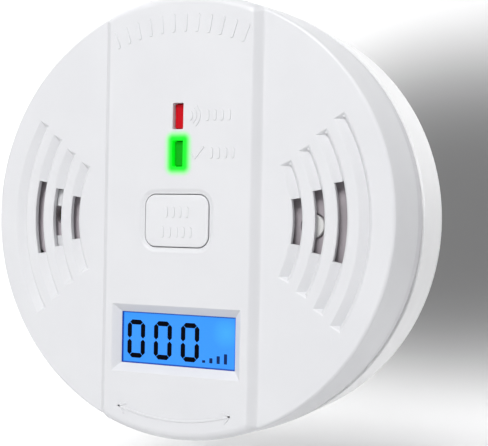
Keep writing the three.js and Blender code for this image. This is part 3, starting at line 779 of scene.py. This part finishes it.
def stroke(path, width):
    """Outline of a line of that width with round ends along a path."""
    left, right = [], []
    for i, (x, z) in enumerate(path):
        a, b = path[max(i - 1, 0)], path[min(i + 1, len(path) - 1)]
        along = Vector((b[0] - a[0], b[1] - a[1])).normalized()
        across = Vector((-along.y, along.x)) * width / 2
        left.append((x + across.x, z + across.y))
        right.append((x - across.x, z - across.y))

    def round_end(last, before):
        a = math.degrees(math.atan2(last[1] - before[1], last[0] - before[0]))
        return arc(*last, width / 2, a - 90, a + 90, 4)[1:-1]

    return right + round_end(path[-1], path[-2]) + left[::-1] + round_end(path[0], path[1])


def emboss(shell, path, width, face):
    """A raised line with sloped edges on a face at that depth."""
    foot, top = stroke(path, width + MARK_BEVEL), stroke(path, width - MARK_BEVEL)
    shell.solid([(foot, face - MARK_SINK), (foot, face + MARK_STEP), (top, face + MARK_H)])


MARK_W = 0.42
PILL_W, PILL_TALL, PILL_PITCH = 0.85, 1.5, 1.7
TOP_MARKS_R = 42.4
TOP_MARKS = range(-22, 23, 4)
TOP_MARK_LONG = 3.2
WAVES_X, WAVE_R, WAVE_PITCH, WAVE_HALF = 2.3, 1.2, 0.9, 44
TICK = [(3.3, 0.1), (4.3, -1.1), (6.3, 1.3)]  # from the middle of the green light
ALARM_PILLS_X, OPERATE_PILLS_X = 7.2, 8.2
TWIST_R = 44.4
TWIST_END = 18
BARB_BACK, BARB_SPREAD = 2.0, 1.1


def pills(shell, start, z, count, face=BAND_D):
    """A row of short upright raised pills from x = start."""
    for i in range(count):
        x = start + PILL_PITCH * i
        emboss(shell, [(x, z - PILL_TALL / 2), (x, z + PILL_TALL / 2)], PILL_W, face)


def cover_marks():
    """Plain relief marks: bars along the top, icons by the lights, and a turning arrow below."""
    shell = Shell()
    for degrees in TOP_MARKS:
        a = math.radians(90 + degrees)
        ends = (TOP_MARKS_R - TOP_MARK_LONG / 2, TOP_MARKS_R + TOP_MARK_LONG / 2)
        emboss(shell, [(r * math.cos(a), r * math.sin(a)) for r in ends], PILL_W, BAND_D)
    alarm, operate = LED_Z["alarm_led_red"], LED_Z["operate_led_green"]
    for i in range(3):
        wave = arc(WAVES_X, alarm, WAVE_R + WAVE_PITCH * i, -WAVE_HALF, WAVE_HALF, 8)
        emboss(shell, wave, MARK_W, BAND_D)
    pills(shell, ALARM_PILLS_X, alarm, 4)
    emboss(shell, [(x, operate + z) for x, z in TICK], MARK_W, BAND_D)
    pills(shell, OPERATE_PILLS_X, operate, 4)
    emboss(shell, arc(0, 0, TWIST_R, -90 - TWIST_END, -90 + TWIST_END, 20), MARK_W, BAND_D)
    for end in (-90 - TWIST_END, -90 + TWIST_END):
        tip = arc(0, 0, TWIST_R, end, end, 1)[0]
        back = end + math.copysign(BARB_BACK, -90 - end)
        for spread in (-BARB_SPREAD, BARB_SPREAD):
            barb = arc(0, 0, TWIST_R + spread, back, back, 1)[0]
            emboss(shell, [barb, tip], MARK_W, BAND_D)
    shell.piece("cover_marks", COVER)


cover_marks()

# ---------- test button ----------
CAP_SOFT = 0.25
CAP_CROWN = [(0.9, 0.06), (1.6, 0.09)]  # in from the cap's edge, up to its middle
LIP_D, LIP_T, LIP_WIDER, LIP_SOFT = 34.6, 1.2, 2.6, 0.15
STEM_R, STEM_SOFT = 2.2, 0.3
BUTTON_ROWS = [(1.9, 4), (-2.5, 5)]  # height above the button's middle, number of pills
BUTTON_LOOK = plain_plastic("button_plastic", (0.645, 0.648, 0.663), (0.66, 0.663, 0.678), 0.38)


def test_button():
    shell = Shell()
    stem_d = span("test_button")[1][0]

    def cap(grow):
        return rounded(0, BUTTON_Z, BUTTON_W - 2 * GAP, BUTTON_H - 2 * GAP, BUTTON_R - GAP, grow)

    def lip(grow):
        wide, high = BUTTON_W + LIP_WIDER, BUTTON_H + LIP_WIDER
        return rounded(0, BUTTON_Z, wide, high, BUTTON_R, grow)

    stem, tip = (circle(r, 36, 0, BUTTON_Z) for r in (STEM_R, STEM_R - STEM_SOFT))
    lip_back = LIP_D - LIP_T
    rings = [(tip, stem_d), (stem, stem_d + STEM_SOFT), (stem, lip_back)]
    rings += [(lip(-LIP_SOFT), lip_back), (lip(0.0), lip_back + LIP_SOFT)]
    rings += [(lip(0.0), LIP_D - LIP_SOFT), (lip(-LIP_SOFT), LIP_D), (cap(0.0), LIP_D)]
    crown = BUTTON_D - BUTTON_CROWN
    for a in quarter(6):
        rings.append((cap(-CAP_SOFT * (1 - math.cos(a))), crown - CAP_SOFT * (1 - math.sin(a))))
    rings += [(cap(-inward), crown + up) for inward, up in CAP_CROWN]
    shell.solid(rings)
    shell.piece("test_button", BUTTON_LOOK, "button")


test_button()


def button_mark():
    """Two plain rows of raised pills on the button."""
    shell = Shell()
    for z, count in BUTTON_ROWS:
        pills(shell, -PILL_PITCH * (count - 1) / 2, BUTTON_Z + z, count, BUTTON_D - MARK_H)
    shell.piece("button_mark", BUTTON_LOOK, "button")


button_mark()

# ---------- display ----------
GLASS_D = span("lcd_glass")[1][1]
DIGIT_W, DIGIT_H, DIGIT_PITCH = 4.5, 8.5, 6.77
DIGIT_X, DIGIT_Z = -10.57, -27.33
STROKE_W = 1.08
SEGMENT_GAP = 0.09
INK_SINK, INK_H = 0.02, 0.03
GLASS_R = 0.3
GLASS_STEP, GLASS_SOFT, GLASS_EASE = 1.1, 0.1, 0.02
GLASS_IN = 0.25  # how far the front of the glass is set in from its rim


def display():
    (x0, x1), (back, front), (z0, z1) = span("lcd_glass")
    shell = Shell()

    def sheet(grow):
        return rounded((x0 + x1) / 2, (z0 + z1) / 2, x1 - x0, z1 - z0, GLASS_R, grow, 3)

    step = front - GLASS_STEP
    rings = [(sheet(-GLASS_SOFT), back), (sheet(0.0), back + GLASS_SOFT)]
    rings += [(sheet(0.0), step - GLASS_SOFT), (sheet(-GLASS_SOFT), step)]
    rings += [(sheet(-GLASS_IN), step + GLASS_EASE), (sheet(-GLASS_IN), front - GLASS_SOFT)]
    rings += [(sheet(-GLASS_IN - GLASS_SOFT), front)]
    shell.solid(rings)
    shell.piece("lcd_glass", display_glass())


display()


def segment(shell, start, end):
    """A bar with pointed ends between two corners of a digit."""
    a, b = Vector(start), Vector(end)
    along = (b - a).normalized()
    across = Vector((-along.y, along.x)) * STROKE_W / 2
    a, b = a + along * SEGMENT_GAP, b - along * SEGMENT_GAP
    point = along * STROKE_W / 2
    outline = [a, a + point + across, b - point + across, b, b - point - across, a + point - across]
    flat = [tuple(p) for p in outline]
    shell.solid([(flat, GLASS_D - INK_SINK), (flat, GLASS_D + INK_H)])


def digits():
    """Three seven-segment digits with only the outer segments lit, so each is a zero."""
    shell = Shell()
    half_w, half_h = (DIGIT_W - STROKE_W) / 2, (DIGIT_H - STROKE_W) / 2
    for i in range(3):
        x = DIGIT_X + i * DIGIT_PITCH
        left, right = x - half_w, x + half_w
        top, low = DIGIT_Z + half_h, DIGIT_Z - half_h
        path = [(left, top), (right, top), (right, DIGIT_Z), (right, low)]
        path += [(left, low), (left, DIGIT_Z), (left, top)]
        for start, end in zip(path, path[1:]):
            segment(shell, start, end)
    shell.piece("display_digits", SEGMENT)


UNIT_X, UNIT_Z, UNIT_PITCH, UNIT_W, UNIT_STEP, UNIT_R = 6.4, -31.5, 1.75, 0.75, 0.55, 0.1


def unit_mark():
    """Four rising bars where a unit would be."""
    shell = Shell()
    for i in range(4):
        tall = UNIT_STEP * (i + 1)
        bar = rounded(UNIT_X + UNIT_PITCH * i, UNIT_Z + tall / 2, UNIT_W, tall, UNIT_R, 0.0, 2)
        shell.solid([(bar, GLASS_D - INK_SINK), (bar, GLASS_D + INK_H)])
    shell.piece("display_unit", NAVY)


digits()
unit_mark()

# ---------- indicator lights ----------
LENS_W, LENS_H, LENS_R = 2.3, 5.3, 0.2
LENS_FOOT_D, LENS_FOOT_T, LENS_FOOT = 29.3, 1.2, 0.1
LENS_CAP = [(0.0, 0.2), (0.06, 0.06), (0.2, 0.0)]  # in from the lens's side, back from its front
LEG_OFFSET, LEG_W, LEG_R = 1.27, 0.6, 0.05


def light(node, material):
    """A rectangular lens with softened edges, its foot and its two legs."""
    shell = Shell()
    z = LED_Z[node]
    front = span(node)[1][1]

    def body(grow):
        return rounded(0, z, LENS_W, LENS_H, LENS_R, grow, 4)

    foot_top = LENS_FOOT_D + LENS_FOOT_T
    rings = [(body(LENS_FOOT), LENS_FOOT_D), (body(LENS_FOOT), foot_top - LENS_FOOT)]
    rings += [(body(LENS_FOOT / 2), foot_top), (body(0.0), foot_top)]
    rings += [(body(-inward), front - back) for inward, back in LENS_CAP]
    shell.solid(rings)
    for leg in (z - LEG_OFFSET, z + LEG_OFFSET):
        wire = rounded(0, leg, LEG_W, LEG_W, LEG_R, 0.0, 2)
        shell.solid([(wire, ON_BOARD_D), (wire, LENS_FOOT_D + SINK)])
    shell.piece(node, material)


light("alarm_led_red", RED)
light("operate_led_green", GREEN)

# ---------- rear housing ----------
TUB_STEPS = 180
TUB_SOFT, STRIP_SOFT = 0.6, 0.4
STRIP_FRONT_SOFT = 0.15
POST_TOP_SOFT = 0.2
BAY_R, BAY_SOFT = 1.0, 0.4
BAY_RIB_Z, BAY_RIB_LONG, BAY_RIB_W, BAY_RIB_T, BAY_RIB_R = 7.8, 38, 1.5, 3.6, 0.3
LUG_R, LUG_SINK, LUG_D = 47.7, 0.3, (5.2, 7.2)
HOUSING = plain_plastic("housing_plastic", (0.57, 0.57, 0.59), (0.60, 0.60, 0.62), 0.45)


def bay(grow):
    return rounded(0, 0, 2 * BAY_X, 2 * BAY_Z, BAY_R, grow, 4)


def arc_block(shell, inner, outer, start, end, back, front):
    """A block between two radii, in degrees counter-clockwise from +x."""
    outline = arc(0, 0, outer, start, end, 12) + arc(0, 0, inner, end, start, 12)
    shell.solid([(outline, back), (outline, front)])


def rear_housing():
    shell = Shell()
    strip_d = PARTING_D - GAP
    outside = [
        *soft_edge(TUB_R, BACK_D, TUB_SOFT), (TUB_R, FLANGE_D),
        *soft_edge(STRIP_R, FLANGE_D, STRIP_SOFT), (STRIP_R, strip_d - STRIP_FRONT_SOFT),
        (STRIP_R - STRIP_FRONT_SOFT, strip_d), (TONGUE_R, strip_d), (TONGUE_R, TONGUE_D),
        (TONGUE_R - THIN, TONGUE_D), (TONGUE_R - THIN, FLANGE_D + THIN),
        (TUB_R - WALL, FLANGE_D - THIN), (TUB_R - WALL, BACK_D + WALL),
    ]
    back, floor = shell.sweep([(circle(r, TUB_STEPS), d) for r, d in outside])
    bores, posts = [], []
    for x, z in corners(POST_X, POST_Z):
        def hole(r, x=x, z=z):
            return circle(r, 32, x, z)

        soft = POST_TOP_SOFT
        rings = [(hole(SCREW_SINK_R + soft), BACK_D), (hole(SCREW_SINK_R), BACK_D + soft)]
        rings += [(hole(SCREW_SINK_R), SCREW_SINK_D), (hole(SCREW_HOLE_R), SCREW_SINK_D)]
        rings += [(hole(SCREW_HOLE_R), TONGUE_D), (hole(POST_R - soft), TONGUE_D)]
        rings += [(hole(POST_R), TONGUE_D - soft), (hole(POST_R), BACK_D + WALL)]
        first, last = shell.sweep(rings)
        bores.append(first)
        posts.append(last)
    mouth = [(bay(BAY_SOFT), BACK_D), (bay(0.0), BACK_D + BAY_SOFT)]
    opening, inner = shell.sweep([*mouth, (bay(0.0), BAY_FLOOR_D)])
    shell.fill(inner)
    foot, top = shell.sweep([(bay(BAY_WALL), BACK_D + WALL), (bay(BAY_WALL), BAY_TOP_D)])
    shell.fill(top)
    shell.fill(back, opening, *bores)
    shell.fill(floor, foot, *posts)
    for i in range(LOCK_COUNT):
        middle = LOCK_FIRST + 360 / LOCK_COUNT * i
        arc_block(shell, TUB_R - LUG_SINK, LUG_R, middle - LUG_HALF, middle + LUG_HALF, *LUG_D)
    for z in (-BAY_RIB_Z, BAY_RIB_Z):
        rib = rounded(0, z, BAY_RIB_LONG, BAY_RIB_W, BAY_RIB_R, 0.0, 3)
        shell.solid([(rib, BAY_FLOOR_D - BAY_RIB_T), (rib, BAY_FLOOR_D + SINK)])
    shell.piece("rear_housing", HOUSING)


rear_housing()

# ---------- mounting base ----------
RING_STEPS = 192
RING_SOFT, SKIRT_SOFT, PLATE_SOFT = 0.6, 0.3, 0.4
RING_LINE = [(0.14, 1.5), (0.14, 1.9), (0.36, 2.0), (0.36, 2.5), (0.12, 2.6)]  # in from the side, depth
KEYHOLE_SOFT = 0.25
HUB = [(16.8, 1.8), (16.8, 3.3), (16.9, 3.4), (17.9, 3.4), (18, 3.3), (18, 1.8)]  # radius, depth
RIB_COUNT, RIB_ENDS, RIB_D = 6, (17.6, 44.2), (1.8, 2.9, 3.0)
RIB_SOFT = 0.2
HOOK_R, HOOK_D = (46.8, 48.2), (7.6, 9.8)
STOP_D, STOP_GAP, STOP_LONG = (1.8, 9.8), 0.6, 4


def keyhole(side, grow=0.0):
    """The outline of a keyhole: a round head hole with a slot up from it."""
    x = side * KEYHOLE_X
    head, slot = KEYHOLE_R + grow, KEYHOLE_SLOT_R + grow
    corner = math.degrees(math.acos(slot / head))
    points = arc(x, 0, head, 180 - corner, 360 + corner, 32)
    return points + arc(x, KEYHOLE_RUN, slot, 0, 180, 12)


def mounting_base():
    shell = Shell()
    outside = [
        *soft_edge(RING_BACK_R, 0.0, RING_SOFT),
        *[(RING_FRONT_R - inward, depth) for inward, depth in RING_LINE],
        *reversed(soft_edge(RING_FRONT_R, RING_D, SKIRT_SOFT, -1)),
        (SKIRT_IN_R + SKIRT_SOFT, RING_D), (SKIRT_IN_R, RING_D - SKIRT_SOFT),
        (SKIRT_IN_R, PLATE_T + PLATE_SOFT), (SKIRT_IN_R - PLATE_SOFT, PLATE_T),
    ]
    back, plate = shell.sweep([(circle(r, RING_STEPS), d) for r, d in outside])
    at_back, at_front = [], []
    for side in (-1, 1):
        wide, narrow = keyhole(side, KEYHOLE_SOFT), keyhole(side)
        rings = [(wide, 0.0), (narrow, KEYHOLE_SOFT), (narrow, PLATE_T - KEYHOLE_SOFT), (wide, PLATE_T)]
        first, last = shell.sweep(rings)
        at_back.append(first)
        at_front.append(last)
    shell.fill(back, *at_back)
    shell.fill(plate, *at_front)
    ring(shell, HUB, 0, 0, 72)
    for i in range(RIB_COUNT):
        a = 2 * math.pi * (i + 0.5) / RIB_COUNT
        path = [(r * math.cos(a), r * math.sin(a)) for r in RIB_ENDS]
        foot, top = stroke(path, THIN), stroke(path, THIN - RIB_SOFT)
        shell.solid(zip((foot, foot, top), RIB_D))
    for i in range(LOCK_COUNT):
        middle = LOCK_FIRST + 360 / LOCK_COUNT * i
        closed, opened = middle - LUG_HALF - STOP_GAP, middle + TWIST + LUG_HALF + STOP_GAP
        arc_block(shell, *HOOK_R, middle - LUG_HALF, middle + LUG_HALF, *HOOK_D)
        arc_block(shell, *HOOK_R, closed - STOP_LONG, closed, *STOP_D)
        arc_block(shell, *HOOK_R, opened, opened + STOP_LONG, *STOP_D)
    shell.piece("mounting_base", BASE, "mount")


mounting_base()

# ---------- sounder and gas sensor ----------
SOUND_HOLE_R = 2.2
SOUNDER_EDGE = [(0.5, 0.0), (0.15, 0.15), (0.0, 0.5)]  # in from the side, back from the front
SENSOR_EDGE = [(0.0, 1.0), (0.2, 0.8), (0.8, 0.8), (0.8, 0.2), (1.0, 0.0)]
SENSOR_SOFT = 0.2
FILTER_SOFT, FILTER_BACK_SOFT = 0.15, 0.1


def sounder():
    (x0, x1), (back, front), _ = span("sounder_housing")
    x, r = (x0 + x1) / 2, (x1 - x0) / 2
    shell = Shell()
    profile = [(SOUND_HOLE_R, front)]
    profile += [(r - inward, front - behind) for inward, behind in SOUNDER_EDGE]
    profile += [(r, back), (r - THIN, back), (r - THIN, front - THIN)]
    profile += [(SOUND_HOLE_R, front - THIN)]
    ring(shell, profile, x, 0, 72)
    shell.piece("sounder_housing", GREY)


def gas_sensor():
    (x0, x1), (back, front), (z0, z1) = span("co_sensor")
    x, z, r = (x0 + x1) / 2, (z0 + z1) / 2, (x1 - x0) / 2
    shell = Shell()
    profile = [(r - SENSOR_SOFT, back), (r, back + SENSOR_SOFT)]
    profile += [(r - inward, front - behind) for inward, behind in SENSOR_EDGE]
    turned(shell, profile, x, z, 72)
    shell.piece("co_sensor", GREY)
    (x0, x1), (back, front), _ = span("co_sensor_filter")
    r = (x1 - x0) / 2
    cap = Shell()
    profile = [(r - FILTER_BACK_SOFT, back), (r, back + FILTER_BACK_SOFT)]
    profile += [(r, front - FILTER_SOFT), (r - FILTER_SOFT, front)]
    turned(cap, profile, x, z, 48)
    cap.piece("co_sensor_filter", MEMBRANE)


SCREEN_R, SCREEN_HOLE_R = 12.5, 2.9
SCREEN_D, SCREEN_T = 31.75, 0.4


def vent_screen():
    """A thin grey dust screen over the gas sensor, with a hole for its filter."""
    (x0, x1), _, (z0, z1) = span("co_sensor")
    shell = Shell()
    back, front = SCREEN_D, SCREEN_D + SCREEN_T
    profile = [(SCREEN_HOLE_R, back), (SCREEN_R, back), (SCREEN_R, front), (SCREEN_HOLE_R, front)]
    ring(shell, profile, (x0 + x1) / 2, (z0 + z1) / 2, 72)
    shell.piece("vent_screen", SCREEN)


sounder()
gas_sensor()
vent_screen()

# ---------- carried-over inner parts ----------
METALS = {
    "steel": ((0.42, 0.43, 0.45), (0.55, 0.56, 0.58), 0.32),
    "nickel_strip": ((0.55, 0.53, 0.48), (0.68, 0.66, 0.61), 0.24),
    "piezo_brass": ((0.42, 0.27, 0.08), (0.55, 0.37, 0.13), 0.3),
}
PLASTICS = {
    "battery_wrap": ((0.012, 0.014, 0.02), (0.03, 0.033, 0.042), 0.25),
    "capacitor_sleeve": ((0.008, 0.012, 0.03), (0.016, 0.022, 0.05), 0.3),
    "silicone_rubber": ((0.24, 0.23, 0.25), (0.30, 0.28, 0.31), 0.65),
    "light_guide": ((0.60, 0.72, 0.95), (0.68, 0.80, 1.0), 0.2),
    "plunger_plastic": ((0.22, 0.03, 0.015), (0.28, 0.045, 0.02), 0.4),
    "inner_plastic": ((0.52, 0.52, 0.55), (0.57, 0.57, 0.60), 0.5),
    "black_plastic": ((0.010, 0.010, 0.012), (0.020, 0.020, 0.022), 0.45),
}
LOOKS = {"circuit_board": board()}
LOOKS |= {name: metal(name, *numbers) for name, numbers in METALS.items()}
LOOKS |= {name: plain_plastic(name, *numbers) for name, numbers in PLASTICS.items()}
EDGE_SOFT = 0.12  # softened edges of the carried-over parts
SHARP_ANGLE = math.radians(50)


def dress(node, material):
    """Gives a CAD node its material and softly broken edges."""
    obj = nodes[node]
    obj.data.materials.clear()
    obj.data.materials.append(material)
    soft = obj.modifiers.new("soft edges", "BEVEL")
    soft.width = EDGE_SOFT * MM
    soft.segments = 2
    soft.limit_method = "ANGLE"
    soft.angle_limit = SHARP_ANGLE


for row in frame["record"]["subparts"]:
    if not nodes[row["node"]].hide_render:
        dress(row["node"], LOOKS[row["material_slot"]])

# ---------- stage, in metres ----------
FLOOR_Z = -0.075  # below the alarm, which hangs over it as on a wall
FLOOR_FRONT = -8.0
SWEEP_Y = 0.12
SWEEP_R = 0.24
SWEEP_TOP = 0.62
SWEEP_HALF = 8.0
# painted shadow: where a soft grey area is painted on the backdrop behind the alarm, how it is
# stretched, its size and how dark it is
PAINTED_SHADOW_AT = (-0.015, 0.27, 0.020)
PAINTED_SHADOW_STRETCH = (0.75, 1.0, 1.15)
PAINTED_SHADOW_R = 0.172
PAINTED_SHADOW_DARK = 0.14
PAINTED_SHADOW_POWER = 3.0


def sweep_material():
    """Pale paper with a painted shadow: one soft grey area behind the alarm, standing in for the shade
    a wall there would catch.
    """
    look = Finish("sweep", Roughness=0.9, Specular_IOR_Level=0.1)
    away = look.add("ShaderNodeVectorMath", operation="SUBTRACT")
    away.inputs[1].default_value = PAINTED_SHADOW_AT
    look.link(look.place, away.inputs[0])
    scaled = look.add("ShaderNodeVectorMath", operation="MULTIPLY")
    scaled.inputs[1].default_value = PAINTED_SHADOW_STRETCH
    look.link(away.outputs["Vector"], scaled.inputs[0])
    length = look.add("ShaderNodeVectorMath", operation="LENGTH")
    look.link(scaled.outputs["Vector"], length.inputs[0])
    # painted shadow: grey at its middle, fading out to the paper's own pale colour
    pale = look.maths("POWER", look.fade(length.outputs["Value"], 0.0, PAINTED_SHADOW_R, 0.0, 1.0), PAINTED_SHADOW_POWER)
    tint = look.ramp(pale, (PAINTED_SHADOW_DARK, PAINTED_SHADOW_DARK, PAINTED_SHADOW_DARK), (0.81, 0.81, 0.81), 0.0, 1.0)
    look.link(tint, look.shader.inputs["Base Color"])
    return look.material


def sweep():
    """The floor and the backdrop as one sheet, with a round bend between them."""
    profile = [(FLOOR_FRONT, FLOOR_Z)]
    for a in quarter(24):
        bend_y = SWEEP_Y + SWEEP_R * math.sin(a)
        profile.append((bend_y, FLOOR_Z + SWEEP_R * (1 - math.cos(a))))
    profile.append((SWEEP_Y + SWEEP_R, SWEEP_TOP))
    points = [(side * SWEEP_HALF, y, z) for y, z in profile for side in (-1, 1)]
    faces = [(2 * i, 2 * i + 1, 2 * i + 3, 2 * i + 2) for i in range(len(profile) - 1)]
    data = bpy.data.meshes.new("sweep")
    data.from_pydata(points, [], faces)
    data.shade_smooth()
    data.materials.append(sweep_material())
    obj = bpy.data.objects.new("sweep", data)
    bpy.context.scene.collection.objects.link(obj)


def sky():
    """A plain sky with a pale band along the horizon."""
    world = bpy.data.worlds.new("studio")
    bpy.context.scene.world = world
    world.use_nodes = True
    nodes_of = world.node_tree.nodes
    links = world.node_tree.links
    axes = nodes_of.new("ShaderNodeSeparateXYZ")
    links.new(nodes_of.new("ShaderNodeTexCoord").outputs["Generated"], axes.inputs["Vector"])
    ramp = nodes_of.new("ShaderNodeValToRGB")
    ends = ramp.color_ramp.elements
    for end, height, colour in zip(ends, HORIZON_BAND, (HORIZON, OVERHEAD)):
        end.position, end.color = height, colour
    links.new(axes.outputs["Z"], ramp.inputs["Fac"])
    links.new(ramp.outputs["Color"], nodes_of["Background"].inputs["Color"])
    nodes_of["Background"].inputs["Strength"].default_value = SKY_POWER


def area_light(name, azimuth, elevation, distance, size, power, aim=(0, -0.02, 0)):
    """A square soft light: azimuth in degrees from the front towards +x, distances in metres."""
    across, up = math.radians(azimuth), math.radians(elevation)
    away = Vector((math.sin(across) * math.cos(up), -math.cos(across) * math.cos(up), math.sin(up)))
    data = bpy.data.lights.new(name, "AREA")
    data.size = size
    data.energy = power
    obj = bpy.data.objects.new(name, data)
    obj.location = Vector(aim) + distance * away
    obj.rotation_euler = away.to_track_quat("Z", "Y").to_euler()
    bpy.context.scene.collection.objects.link(obj)


SKY_POWER = 1.0
HORIZON = (0.42, 0.42, 0.43, 1)
OVERHEAD = (0.158, 0.161, 0.170, 1)
HORIZON_BAND = (0.17, 0.24)  # sine of the height where the band ends and where the sky starts
LIGHTS = {
    "key": (6, 44, 1.2, 0.45, 13.1),
    "left": (-40, 30, 1.2, 0.5, 1.2),
    "side": (95, 30, 1.2, 0.5, 2.0),
    "wash": (-20, 45, 0.40, 0.4, 1.3, (-0.25, 0.36, 0.08)),
}

sweep()
sky()
for light_name, numbers in LIGHTS.items():
    area_light(light_name, *numbers)
bpy.context.scene.view_settings.view_transform = "Standard"
